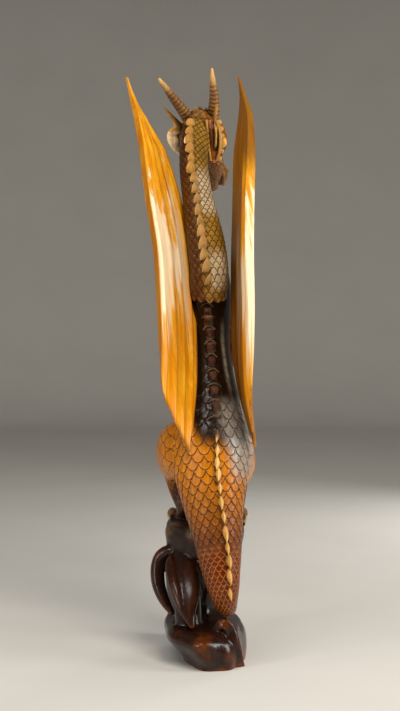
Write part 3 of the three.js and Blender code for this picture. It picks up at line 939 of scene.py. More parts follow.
# Breadth of the stained cut round each scale, in millimetres.
SCALE_LINE = 0.5

# How strongly scales are cut on the smooth back and on the face, and how near a form's surface a point has
# to be to be carved and to show them.
BACK_SCALES = 0.12
FACE_SCALES = 0.7
CARVED_SKIN = 1.6
SCALED_SKIN = 1.4

# Rings of the horns: spacing, relief, and shares of the length between which they end.
RING_PITCH = 4.6
RING_RELIEF = 0.8
RINGS_END = (0.72, 0.86)


def girth_of(form):
    """Distance round each section of a form."""
    return 2 * math.pi * np.sqrt((form.width ** 2 + form.depth ** 2) / 2)


def scale_lattice(form, columns, walked, angle):
    """Column round the form and row along it of each place, in scales."""
    girth = girth_of(form)
    rows_per_mm = columns / girth / SCALE_ASPECT
    steps = np.diff(form.walked) * (rows_per_mm[1:] + rows_per_mm[:-1]) / 2
    rows = np.concatenate([[0], np.cumsum(steps)])
    row = np.interp(walked, form.walked, rows)
    column = (angle - math.pi / 2) / (2 * math.pi) * columns
    return column, row


def scale_height(column, row):
    """Height over the hollow of roof-tile scales whose free edges point down the rows."""
    upper = np.floor(2 * row) - 1
    heights = []
    covers = []
    for k in (upper, upper + 1):
        below = row - k / 2
        off = column - 0.5 * np.mod(k, 2)
        off = off - np.rint(off)
        heights.append(below / SCALE_REACH)
        covers.append((off / SCALE_HALF_WIDTH) ** 2 + (below / SCALE_REACH) ** 2 <= 1)
    return np.where(covers[0], heights[0], heights[1])


def add_thorn(form, along, spines, heading, uneven):
    """Spine on the back of a form, leaning along it; uneven varies its size, lean and place by hand."""
    centre, side, up, tangent, _, depth = [row[0] for row in form.section(np.array([along]))]
    scale = min(1.0, 0.35 + depth / 24) * (1 + uneven[0])
    lean = spines["lean"] * spines["pitch"] * scale * heading * (1 + uneven[1])
    stations = []
    for rise, back, full in spines["profile"]:
        lift = depth - SPINE_SINK + rise * (SPINE_SINK + spines["height"] * scale)
        sideways = 4 * uneven[2] + spines["offset"] + back * spines["sweep"] * scale
        place = centre + up * lift + tangent * (back * lean) + side * sideways
        stations.append((*place, spines["half_width"] * scale * full, spines["half_length"] * scale * full))
    return add_tube(Form(stations, tangent, per_gap=4), 14, 12, squareness=spines["squareness"])


def walked_at(form, share):
    """Distance walked along a form at a share of its stations."""
    return np.interp(share, np.linspace(0, 1, len(form.walked)), form.walked)


def add_arches(form, ridge, pitch):
    """Raised arches across the back of a form, between the plates of its ridge."""
    arches = []
    shares = np.linspace(0, 1, len(form.walked))
    spread = np.linspace(-1, 1, 7)
    for walked in np.arange(walked_at(form, ridge[0]), walked_at(form, ridge[1]), pitch):
        along = np.interp(walked, form.walked, shares)
        centre, side, up, tangent, width, depth = [row[0] for row in form.section(np.array([along]))]
        stations = []
        for part in spread:
            angle = ARCH_SPREAD * part
            place = centre + side * width * math.sin(angle) + up * depth * math.cos(angle)
            stations.append((*(place + tangent * ARCH_DROP * (part ** 2 - 0.2)), ARCH_RADIUS))
        arches.append(add_tube(Form(stations, up, per_gap=4), 10, 20))
    return arches


def add_ridge(form, ridge, spines):
    """Row of spines spaced from one share of a form to another, a little uneven as cut by hand."""
    shares = np.linspace(0, 1, len(form.walked))
    first, last = walked_at(form, ridge[0]), walked_at(form, ridge[1])
    heading = 1 if last > first else -1
    step = heading * spines["pitch"]
    places = np.interp(np.arange(first + step / 2, last, step), form.walked, shares)
    uneven = np.random.default_rng(len(places)).uniform(-SPINE_UNEVEN, SPINE_UNEVEN, (len(places), 3))
    return [add_thorn(form, along, spines, heading, some) for along, some in zip(places, uneven)]


def add_neck():
    """Neck whose lower edge hangs over the back in scallops."""
    form = FORMS["neck"]
    neck = add_tube(form, 72, 110)
    points = read_points(neck)
    walked, angle, _ = form.locate(points)
    scallop = np.abs(np.cos(angle * NECK_SCALLOPS / 2)) - 0.6
    points[:, 2] -= NECK_SCALLOP * scallop * (1 - smoothstep(walked, 0, NECK_SCALLOP_ENDS))
    write_points(neck, points)
    return neck


def add_claws(start, count, spread, length, radius):
    """Tapering toes fanned out in front of a wrist, hooked down at the end."""
    toes = []
    for i in range(count):
        across = i - (count - 1) / 2
        reach = length * (1 - 0.12 * abs(across))
        x = start[0] + across * spread
        fanned = x + 0.45 * across * spread
        y, z = start[1], start[2]
        stations = (
            (x, y + 0.25 * reach, z, 1.05 * radius),
            ((x + fanned) / 2, y - 0.35 * reach, z + 0.5 * radius, radius),
            (fanned, y - 0.8 * reach, z - 0.4 * radius, 0.85 * radius),
            (fanned, y - 1.08 * reach, z - 1.6 * radius, 0.55 * radius),
            (fanned, y - 1.16 * reach, z - 3 * radius, 0.15 * radius),
        )
        toes.append(add_tube(Form(stations, UP), 14, 20))
    return toes


def add_ear(side):
    """Fan of spikes joined by a web, behind the cheek."""
    left, nape, crown = head_frame()
    turn = np.stack([left * side, nape, crown])
    backward = unit(np.asarray(EAR_BACKWARD) @ turn)
    downward = np.asarray(EAR_DOWNWARD) @ turn
    downward = unit(downward - backward * downward.dot(backward))
    slab, share, out, face = add_slab(46, 24)
    gaps = len(EAR_SPIKES) - 1
    web = np.abs(np.sin(math.pi * share * gaps))
    after = np.array(EAR_WEBS)[np.minimum((share * gaps).astype(int), gaps)]
    reach = np.interp(share * gaps, range(gaps + 1), EAR_SPIKES)
    reach = reach * (1 - (1 - after) * web)
    angle = np.radians(EAR_SPREAD) * share
    ray = backward * np.cos(angle)[:, None] + downward * np.sin(angle)[:, None]
    half = (1.3 + 1.1 * out) * (1 - 0.4 * web)
    root = in_head((EAR_ROOT[0] * side, *EAR_ROOT[1:]))
    place = root + ray * (reach * (1 - out * 0.98))[:, None]
    place = place + np.cross(backward, downward) * (face * half)[:, None]
    write_points(slab, place)
    face_outward(slab)
    return slab


def add_locks():
    """Tuft of pointed locks on the crown, the middle one longest."""
    locks = []
    for i in range(LOCKS):
        across = i - (LOCKS - 1) / 2
        reach = LOCK_LENGTH - 3 * abs(across)
        stations = (
            (across * LOCK_PITCH, -6, 12, 3.6, 4),
            (across * LOCK_PITCH * 1.15, -4 + reach / 2, 17, 3.2, 3.4),
            (across * LOCK_PITCH * 1.4, -4 + reach, 17 + 0.2 * reach, 0.7),
        )
        locks.append(add_tube(head_form(stations), 14, 18))
    return locks


def add_hanging_ear():
    """Floor and rims of the hollow ear at the right of the neck, with scallops along its outer rim."""
    parts = [add_tube(Form(stations, BACK), 20, 30) for stations in (EAR_FLOOR, EAR_INNER_RIM, EAR_OUTER_RIM)]
    rim = Form(EAR_OUTER_RIM, BACK)
    for place in rim.section(np.linspace(0.05, 0.95, EAR_SCALLOPS))[0]:
        parts.append(add_ball(place + np.array(EAR_SCALLOP_SHIFT), EAR_SCALLOP_RADII))
    return parts


def add_fringe(side):
    """Row of points behind the cheek of one side."""
    fringe = []
    for i in range(FRINGE_POINTS):
        x = FRINGE_START[0]
        y = FRINGE_START[1] - FRINGE_STEP[0] * i
        z = FRINGE_START[2] - FRINGE_STEP[1] * i
        stations = ((x - 4, y - 2, z, 3), (x + 1, y + 1, z - 0.5, 2.4), (x + 5, y + 5, z - 2, 0.5))
        fringe.append(add_tube(head_form(stations, side), 12, 12))
    return fringe


def add_teeth(side):
    """Upper teeth of one side, from the snout back."""
    _, nape, crown = head_frame()
    teeth = []
    for i in range(TEETH):
        x = side * (FIRST_TOOTH[0] + min(i, TEETH_IN_CURVE) * TOOTH_STEP[0])
        y = FIRST_TOOTH[1] + TOOTH_STEP[1] * i
        z = FIRST_TOOTH[2] + TOOTH_STEP[2] * i
        rows = (
            (x, y, z + 0.4 * TOOTH_LENGTH, TOOTH_RADIUS),
            (x, y, z, 0.7 * TOOTH_RADIUS),
            (x, y, z - 0.5 * TOOTH_LENGTH, 0.2),
        )
        stations = [(*in_head(row[:3]), *row[3:]) for row in rows]
        teeth.append(add_tube(Form(stations, np.cross(crown, nape)), 10, 10))
    return teeth


def add_head_forms():
    """Skull, jaw, locks, ears, brows, cheeks, jowls, lips, fringe, eyes, nostrils and teeth."""
    forms = [add_tube(FORMS["skull"], 32, 40), add_tube(FORMS["jaw"], 26, 30)]
    forms += add_locks()
    forms += add_hanging_ear()
    pads = [name for name in FORMS if name.endswith(("brow", "cheek", "jowl", "lip"))]
    forms += [add_tube(FORMS[name], 16, 24) for name in pads]
    for side in (-1, 1):
        forms += add_fringe(side)
        forms.append(add_ball(in_head((side * EYE[0], *EYE[1:])), [EYE_RADIUS * BALL_SWELL] * 3))
        forms.append(add_ball(in_head((side * NOSTRIL[0], *NOSTRIL[1:])), [NOSTRIL_RADIUS * BALL_SWELL] * 3))
        forms.append(add_ear(side))
        forms += add_teeth(side)
    return forms


def add_swirl(sizes):
    """Leaf shaped swirl lying on the rock, thin at both ends."""
    start, turn, low, high, out, full = sizes
    rock = FORMS["rock"]
    part = np.linspace(0, 1, 7)
    swell = np.sin(math.pi * np.clip(part, 0.06, 0.94))
    angle = np.radians(start + turn * part)
    z = low + (high - low) * part
    nearest = np.abs(rock.centre[:, 2][None] - z[:, None]).argmin(axis=1)
    reach_x = rock.width[nearest] - 0.45 * full + out * swell
    reach_y = rock.depth[nearest] - 0.45 * full + out * swell
    x = rock.centre[nearest, 0] + np.cos(angle) * reach_x
    y = rock.centre[nearest, 1] + np.sin(angle) * reach_y
    stations = np.stack([x, y, z, full * swell, 0.8 * full * swell], axis=1)
    return add_tube(Form(stations, BACK), 26, 34, squareness=1.5)


def add_rock_forms():
    """Rock with its swirls, broad leaf, crescent and the crest of its ledge."""
    def wave(angle, along):
        return 1 + ROCK_LOBE_DEPTH * np.sin(ROCK_LOBES * angle + 9 * along)

    forms = [add_tube(FORMS["rock"], 110, 80, lobes=wave)]
    forms += [add_swirl(sizes) for sizes in SWIRLS]
    forms.append(add_tube(Form(TONGUE, BACK), 36, 46))
    forms.append(add_tube(Form(TONGUE_BODY, BACK), 36, 40))
    forms.append(add_tube(Form(TONGUE_ROLL, BACK), 26, 46))
    forms.append(add_tube(Form(CRESCENT, BACK), 30, 50, squareness=1.7))
    forms.append(add_tube(Form(LEDGE_CREST, BACK), 30, 40, squareness=1.2))
    return forms


def read_edges(obj):
    """Pairs of vertices that each edge of a mesh object joins."""
    flat = np.empty(len(obj.data.edges) * 2, int)
    obj.data.edges.foreach_get("vertices", flat)
    return flat.reshape(-1, 2)


def neighbour_mean(points, edges):
    """Mean place of each vertex's neighbours."""
    total = np.zeros_like(points)
    count = np.bincount(edges.ravel(), minlength=len(points))
    for axis in range(3):
        total[:, axis] = np.bincount(edges[:, 0], points[edges[:, 1], axis], len(points))
        total[:, axis] += np.bincount(edges[:, 1], points[edges[:, 0], axis], len(points))
    return total / np.maximum(count, 1)[:, None]


def hollowness(obj, rounds):
    """How far each vertex lies below (+) or above (-) the skin smoothed over some rounds, in millimetres."""
    points = read_points(obj)
    edges = read_edges(obj)
    smooth = points.copy()
    for _ in range(rounds):
        smooth = 0.5 * smooth + 0.5 * neighbour_mean(smooth, edges)
    return ((smooth - points) * read_normals(obj)).sum(axis=1)


def shelter(obj, reach):
    """Share of the open air hidden from each vertex by the piece itself within a reach in millimetres."""
    mesh = obj.data
    tree = BVHTree.FromPolygons([v.co for v in mesh.vertices], [p.vertices for p in mesh.polygons])
    turn = np.arange(SHELTER_RAYS) * math.pi * (3 - math.sqrt(5))
    height = 1 - 2 * (np.arange(SHELTER_RAYS) + 0.5) / SHELTER_RAYS
    ring = np.sqrt(1 - height ** 2)
    ball = np.stack([ring * np.cos(turn), ring * np.sin(turn), height], axis=1)
    normals = read_normals(obj)
    starts = read_points(obj) * MM + normals * 0.4 * MM
    hidden = np.zeros(len(starts))
    for ray in ball:
        for i, (start, way) in enumerate(zip(starts, normals + 0.98 * ray)):
            if tree.ray_cast(start, way, reach * MM)[0] is not None:
                hidden[i] += 1 / SHELTER_RAYS
    edges = read_edges(obj)
    for _ in range(3):
        hidden = 0.5 * hidden + 0.5 * neighbour_mean(np.stack([hidden] * 3, axis=1), edges)[:, 0]
    return hidden


def survey(points):
    """Nearest form of each point, and the walked distance, angle and gap on every form."""
    names = list(FORMS)
    found = {name: FORMS[name].locate(points) for name in names}
    gaps = np.stack([np.abs(found[name][2]) for name in names])
    label = gaps.argmin(axis=0)
    return names, label, found


def cut_flat(obj, height):
    """Cuts away all below a height and closes the cut."""
    select_only(obj)
    bpy.ops.object.mode_set(mode="EDIT")
    bpy.ops.mesh.select_all(action="SELECT")
    bpy.ops.mesh.bisect(plane_co=(0, 0, height * MM), plane_no=(0, 0, 1), clear_inner=True, use_fill=True)
    bpy.ops.object.mode_set(mode="OBJECT")


def scale_share(name, form, walked, angle):
    """How strongly the scales of a form are cut at each place, from 0 to 1."""
    strength = np.ones(len(walked))
    along = walked / form.walked[-1]
    if name == "trunk":
        strength = BACK_SCALES + (1 - BACK_SCALES) * smoothstep(along, *SCALES_BEGIN)
    if name in ("skull", "jaw") or name.endswith(("cheek", "jowl")):
        strength = FACE_SCALES * strength
    if name in ("trunk", "neck"):
        strength = strength * (1 - belly_share(name, angle, along))
    return strength


def belly_share(name, angle, along):
    """1 on the belly side of the trunk and neck, 0 elsewhere and on the tail."""
    if name not in ("trunk", "neck"):
        return np.zeros(len(angle))
    from_belly = np.abs(np.mod(angle + math.pi / 2 + math.pi, 2 * math.pi) - math.pi)
    tail = smoothstep(along, *BELLY_ENDS) if name == "trunk" else 0.0
    return (1 - smoothstep(from_belly, *BELLY_EDGE)) * (1 - tail)


def clear_of_trunk(name, found):
    """How far an arm has come free of the trunk at each place, from 0 to 1; 1 for the other forms."""
    gap = found["trunk"][2]
    return smoothstep(gap, 0.5, ARM_FADE) if name.endswith("arm") else np.ones(len(gap))


def carve_relief(obj, relief):
    """Cuts scales, belly plates and horn rings into the skin."""
    points = read_points(obj)
    normals = read_normals(obj)
    names, label, found = survey(points)
    lift = np.zeros(len(points))
    for index, name in enumerate(names):
        walked, angle, gap = found[name]
        chosen = (label == index) & (np.abs(gap) < CARVED_SKIN)
        if name in SCALE_COLUMNS:
            form = FORMS[name]
            column, row = scale_lattice(form, SCALE_COLUMNS[name], walked[chosen], angle[chosen])
            size = np.interp(walked[chosen], form.walked, np.minimum(1, (form.width + form.depth) / 50))
            height = scale_height(column, row) - 0.5
            share = scale_share(name, form, walked[chosen], angle[chosen])
            share = share * clear_of_trunk(name, found)[chosen]
            plates = np.mod(row * BELLY_PLATES, 1) - 0.5
            belly = belly_share(name, angle[chosen], walked[chosen] / form.walked[-1])
            lift[chosen] = relief * size * (height * share + plates * belly)
        if name.endswith("horn"):
            length = FORMS[name].walked[-1]
            rings = np.abs(np.sin(walked[chosen] * math.pi / RING_PITCH)) - 0.6
            lift[chosen] = RING_RELIEF * rings * (1 - smoothstep(walked[chosen] / length, *RINGS_END))
    write_points(obj, points + normals * lift[:, None])


def blend(first, second, share):
    """Colours between two by a share for each point."""
    share = np.asarray(share, float)[:, None]
    return np.asarray(first) * (1 - share) + np.asarray(second) * share


def trunk_stain(points, located, stain):
    """Stain of trunk and tail at each point, how dark the back is there, and whether it is on a plate."""
    walked, angle, gap = located
    form = FORMS["trunk"]
    z = points[:, 2]
    along = walked / form.walked[-1]
    back = smoothstep(np.sin(angle), *BACK_SIDE)
    right = smoothstep(-np.cos(angle), *RIGHT_SIDE)
    # Dark stain of the middle back, partly painted shade under the neck and between the wings.
    dark_ends = DARK_ENDS - DARK_ON_SPINE * smoothstep(np.sin(angle), *SPINE_SIDE) - DARK_ON_RIGHT * right
    dark = smoothstep(z, dark_ends - DARK_FADE, dark_ends + DARK_FADE)
    low = smoothstep(along, *LOWER_TAIL)
    mixed = blend(stain["hip"], stain["tail"], low)
    mixed = blend(mixed, blend(stain["neck_shade"], stain["back"], back), dark)
    # Painted highlight of the varnish's glare on the right haunch and down the right of the back.
    rightward = (z - HIGHLIGHT_SLANT[0]) / HIGHLIGHT_SLANT[1] - np.cos(angle)
    haunch = smoothstep(rightward, *HIGHLIGHT_SIDE) * back * within(z, HIGHLIGHT_HAUNCH)
    mixed = blend(mixed, stain["bloom"], HIGHLIGHT_SHARE * haunch)
    streak = np.exp(-((angle - HIGHLIGHT_ANGLE) / HIGHLIGHT_WIDTH) ** 2) * within(z, HIGHLIGHT_STREAK)
    flicker = 0.7 + 0.3 * np.sin(z * HIGHLIGHT_WAVES[0]) * np.sin(z * HIGHLIGHT_WAVES[1])
    mixed = blend(mixed, stain["sapwood"], 0.5 * streak * flicker)
    mixed = blend(mixed, stain["belly"], belly_share("trunk", angle, along))
    # Plates of the ridge, dark on the back and gold below, and the arches between them.
    on_ridge = walked < walked_at(form, TAIL_RIDGE[1]) + RIDGE_OVERHANG
    plated = (gap > PLATE_PROUD) & on_ridge & (np.sin(angle) > PLATE_SIDE)
    gold = smoothstep(-z, -GOLD_BELOW - GOLD_FADE, -GOLD_BELOW + GOLD_FADE)
    plate = blend(stain["back_plate"], stain["spine"], gold)
    plate = blend(plate, stain["gilt_line"], 0.5 * low)
    mixed = blend(mixed, plate, plated * smoothstep(gap, *PLATE_STAIN))
    phase = (walked - walked_at(form, BACK_RIDGE[0])) / BACK_SPINES["pitch"]
    arched = (np.abs(phase - np.rint(phase)) < ARCH_SHARE) & (gap > ARCH_PROUD) & (np.sin(angle) > ARCH_SIDE)
    mixed = blend(mixed, stain["arch"], arched * (1 - gold) * smoothstep(gap, *ARCH_STAIN))
    return mixed, dark, plated


def neck_stain(points, located, stain):
    """Stain of the neck at each point: darker with painted shade on its left, a pale painted highlight on its
    right, with golden plates.
    """
    walked, angle, gap = located
    z = points[:, 2]
    along = walked / FORMS["neck"].walked[-1]
    mixed = blend(stain["neck"], stain["neck_shade"], smoothstep(-np.cos(angle), *NECK_SHADE_SIDE))
    mixed = blend(mixed, stain["belly"], belly_share("neck", angle, along))
    # Painted highlight of the varnish's glare in bands on the right of the neck.
    lightened = sum(within(z, band) for band in NECK_HIGHLIGHT)
    lightened = lightened * smoothstep(np.cos(angle), *NECK_HIGHLIGHT_SIDE)
    mixed = blend(mixed, stain["sapwood"], 0.4 * lightened * (np.sin(angle) > 0))
    plated = (gap > PLATE_PROUD) & (np.sin(angle) > NECK_PLATE_SIDE) & (z > NECK_PLATES_END)
    return blend(mixed, stain["neck_spine"], plated * smoothstep(gap, *NECK_PLATE_STAIN))


def form_stain(name, points, found, stain, trunk_colour):
    """Stain of a limb, a horn, the hanging ear, the rock or the face at each point."""
    along = found[name][0] / FORMS[name].walked[-1]
    if name.endswith("thigh"):
        # Painted highlight of the varnish's glare on the back of the right thigh.
        on_right = smoothstep(points[:, 1], *HIGHLIGHT_ON_THIGH) * (points[:, 0] < 0)
        haunch = within(points[:, 2], HIGHLIGHT_HAUNCH) * on_right
        return blend(stain["hip"], stain["bloom"], THIGH_HIGHLIGHT_SHARE * haunch)
    if name.endswith("shank"):
        return blend(stain["hip"], stain["foot"], smoothstep(along, *FOOT_STAIN))
    if name.endswith("arm"):
        return blend(trunk_colour, stain["hip"], clear_of_trunk(name, found))
    if name.endswith("horn"):
        return blend(stain["horn"], stain["horn_tip"], smoothstep(along, *HORN_TIP_STAIN))
    plain = {"ear_floor": "ear", "rock": "rock"}.get(name, "head")
    return np.tile(stain[plain], (len(points), 1))


def mark_scales(name, found, chosen, marks):
    """Marks scales, belly plates and cuts on the chosen points, and returns every point's column and row."""
    walked, angle, gap = found[name]
    form = FORMS[name]
    column, row = scale_lattice(form, SCALE_COLUMNS[name], walked, angle)
    share = scale_share(name, form, walked, angle) * clear_of_trunk(name, found)
    marks["scaled"][chosen] = (share * (gap < SCALED_SKIN))[chosen]
    breadth = np.interp(walked[chosen], form.walked, girth_of(form)) / SCALE_COLUMNS[name]
    marks["line"][chosen] = SCALE_LINE / (SCALE_HALF_WIDTH * breadth)
    marks["belly"][chosen] = belly_share(name, angle, walked / form.walked[-1])[chosen]
    return np.stack([column, row], axis=1)


def rock_places(points, found, stray, plated):
    """Low points that are nearer to the rock than to the trunk, or on its details, and on no leg or plate."""
    on_rock = np.abs(found["rock"][2]) < np.abs(found["trunk"][2])
    low_rock = (points[:, 2] < ROCK_BELOW) & on_rock
    details = stray & (points[:, 2] < ROCK_DETAILS_BELOW)
    legs = np.stack([np.abs(found[name][2]) for name in ("left_shank", "right_shank")]).min(axis=0) < LEG_SKIN
    return (low_rock | details) & ~legs & ~plated


def paint_eyes(points, colour, stain):
    """Stains the eyeballs and their pupils, and paints shade where the holes of the nostrils would be."""
    left, nape, crown = head_frame()
    for side in (-1, 1):
        looking = unit(side * left * GAZE[0] - nape * GAZE[1] + crown * GAZE[2])
        away = points - in_head((side * EYE[0], *EYE[1:]))
        eyeball = np.linalg.norm(away, axis=1) < EYE_RADIUS * EYE_LID
        colour[eyeball] = stain["eye"]
        colour[eyeball & (unit(away) @ looking > PUPIL)] = stain["pupil"]
        away = points - in_head((side * NOSTRIL[0], *NOSTRIL[1:]))
        nostril = np.linalg.norm(away, axis=1) < NOSTRIL_RADIUS * NOSTRIL_EDGE
        colour[nostril & (unit(away) @ looking > NOSTRIL_SHADE)] = stain["pupil"]


def write_lattice(mesh, names, label, lattice):
    """Stores the scale lattice as a UV map, each face on the form of its first corner and across no seam."""
    corners = np.empty(len(mesh.loops), int)
    mesh.loops.foreach_get("vertex_index", corners)
    first = corners.reshape(-1, 3)[:, 0]
    face_label = np.repeat(label[first], 3)
    places = lattice[face_label, corners]
    around = np.array([SCALE_COLUMNS.get(name, 1) for name in names])[face_label]
    start = np.repeat(places.reshape(-1, 3, 2)[:, 0, 0], 3)
    places[:, 0] -= around * np.rint((places[:, 0] - start) / around)
    layer = mesh.uv_layers.new(name="scale_lattice")
    layer.data.foreach_set("uv", places.ravel())


def paint(obj, colours):
    """Stains every point by the form that it lies on, and stores all that the material reads."""
    points = read_points(obj)
    names, label, found = survey(points)
    stain = {key: np.array(linear(getattr(colours, key))[:3]) for key in colours.__annotations__}
    trunk_colour, dark, plated = trunk_stain(points, found["trunk"], stain)
    colour = np.empty((len(points), 3))
    marks = {key: np.zeros(len(points)) for key in ("scaled", "belly", "rocky", "gilt", "line", "dim")}
    marks["line"][:] = 1
    lattice = np.zeros((len(names), len(points), 2))
    for index, name in enumerate(names):
        chosen = label == index
        if name == "trunk":
            stained = trunk_colour
        elif name == "neck":
            stained = neck_stain(points, found["neck"], stain)
        else:
            stained = form_stain(name, points, found, stain, trunk_colour)
        colour[chosen] = stained[chosen]
        if name in SCALE_COLUMNS:
            lattice[index] = mark_scales(name, found, chosen, marks)
    on_trunk = label == names.index("trunk")
    marks["dim"] = dark * on_trunk
    # Golden painted highlight in the cuts of the lower tail, where the relief catches the light.
    marks["gilt"] = smoothstep(found["trunk"][0] / FORMS["trunk"].walked[-1], *CUT_HIGHLIGHT_BEGINS) * on_trunk
    marks["line"] *= 1 - 0.5 * marks["gilt"]
    # Details that lie on none of the forms: frill, flap of the left ear, fingers, and swirls of the rock.
    stray = np.stack([np.abs(found[name][2]) for name in names]).min(axis=0) > STRAY
    on_head = stray & (points[:, 2] > HEAD_ABOVE)
    colour[on_head] = stain["frill"]
    colour[on_head & (points[:, 2] < FLAP_BELOW) & (points[:, 0] > FLAP_LEFT_OF)] = stain["flap"]
    colour[stray & (points[:, 2] < FINGERS_BELOW) & (points[:, 1] < FINGERS_BEFORE)] = stain["tooth"]
    rocky = rock_places(points, found, stray, plated & on_trunk)
    colour[rocky] = stain["rock"]
    marks["rocky"][rocky] = 1
    for key in ("scaled", "belly", "gilt"):
        marks[key][rocky] = 0
    paint_eyes(points, colour, stain)
    write_attribute(obj.data, "stain", "FLOAT_COLOR", np.hstack([colour, np.ones((len(points), 1))]))
    marks["shelter"] = shelter(obj, SHELTER_REACH)
    marks["hollow"] = np.clip(hollowness(obj, 6) / 0.6, -1, 1)
    marks["recess"] = np.clip(hollowness(obj, 60) / 2.5, -1, 1)
    for key, values in marks.items():
        write_attribute(obj.data, key, "FLOAT", values)
    write_lattice(obj.data, names, label, lattice)


def write_attribute(mesh, name, kind, values):
    """Stores one value per vertex for the materials."""
    attribute = mesh.attributes.new(name, kind, "POINT")
    field = "color" if kind == "FLOAT_COLOR" else "value"
    attribute.data.foreach_set(field, np.asarray(values, float).ravel())


def add_node(tree, kind, *values, sockets=None, output=0, **settings):
    """Adds one shader node with its settings, links or sets its inputs, and returns one of its outputs."""
    node = tree.nodes.new("ShaderNode" + kind)
    for key, value in settings.items():
        setattr(node, key, value)
    for socket, value in [*enumerate(values), *(sockets or {}).items()]:
        if isinstance(value, bpy.types.NodeSocket):
            tree.links.new(value, node.inputs[socket])
        else:
            node.inputs[socket].default_value = value
    return node.outputs[output] if node.outputs else None


def new_material(name):
    """New material with one shader: the material, its node tree and the shader."""
    material = bpy.data.materials.new(name)
    material.use_nodes = True
    tree = material.node_tree
    tree.nodes.clear()
    surface = add_node(tree, "BsdfPrincipled")
    add_node(tree, "OutputMaterial", surface)
    return material, tree, surface.node


def wood_grain(tree, coordinates, width, length, detail):
    """Noise drawn out along the height, with streaks of a given width and length in millimetres."""
    stretch = (1 / (width * MM), 1 / (width * MM), 1 / (length * MM))
    mapped = add_node(tree, "Mapping", sockets={"Vector": coordinates, "Scale": stretch})
    return add_node(tree, "TexNoise", sockets={"Vector": mapped, "Scale": 1.0, "Detail": detail})


def scale_outline(tree, column, row, breadth):
    """1 on the rim of the scale that lies on top, falling to 0 at the breadth of a cut."""
    node = partial(add_node, tree)
    twice = node("Math", row, 2.0, operation="MULTIPLY")
    upper = node("Math", node("Math", twice, operation="FLOOR"), 1.0, operation="SUBTRACT")
    below = node("Math", row, node("Math", upper, 0.5, operation="MULTIPLY"), operation="SUBTRACT")
    odd = node("Math", upper, 2.0, operation="FLOORED_MODULO")
    moved = node("Math", column, node("Math", odd, 0.5, operation="MULTIPLY"), operation="SUBTRACT")
    off = node("Math", node("Math", moved, 0.5, operation="ADD"), operation="FRACT")
    off = node("Math", node("Math", off, 0.5, operation="SUBTRACT"), SCALE_HALF_WIDTH, operation="DIVIDE")
    off = node("Math", off, 2.0, operation="POWER")
    below = node("Math", below, 2.0, operation="POWER")
    reach = node("Math", node("Math", off, below, operation="ADD"), operation="SQRT")
    rim = node("Math", node("Math", reach, 1.0, operation="SUBTRACT"), operation="ABSOLUTE")
    rim = node("Math", rim, breadth, operation="DIVIDE")
    return node("Math", 1.0, node("MapRange", rim, 0.3, 1.0, **EASED), operation="SUBTRACT")


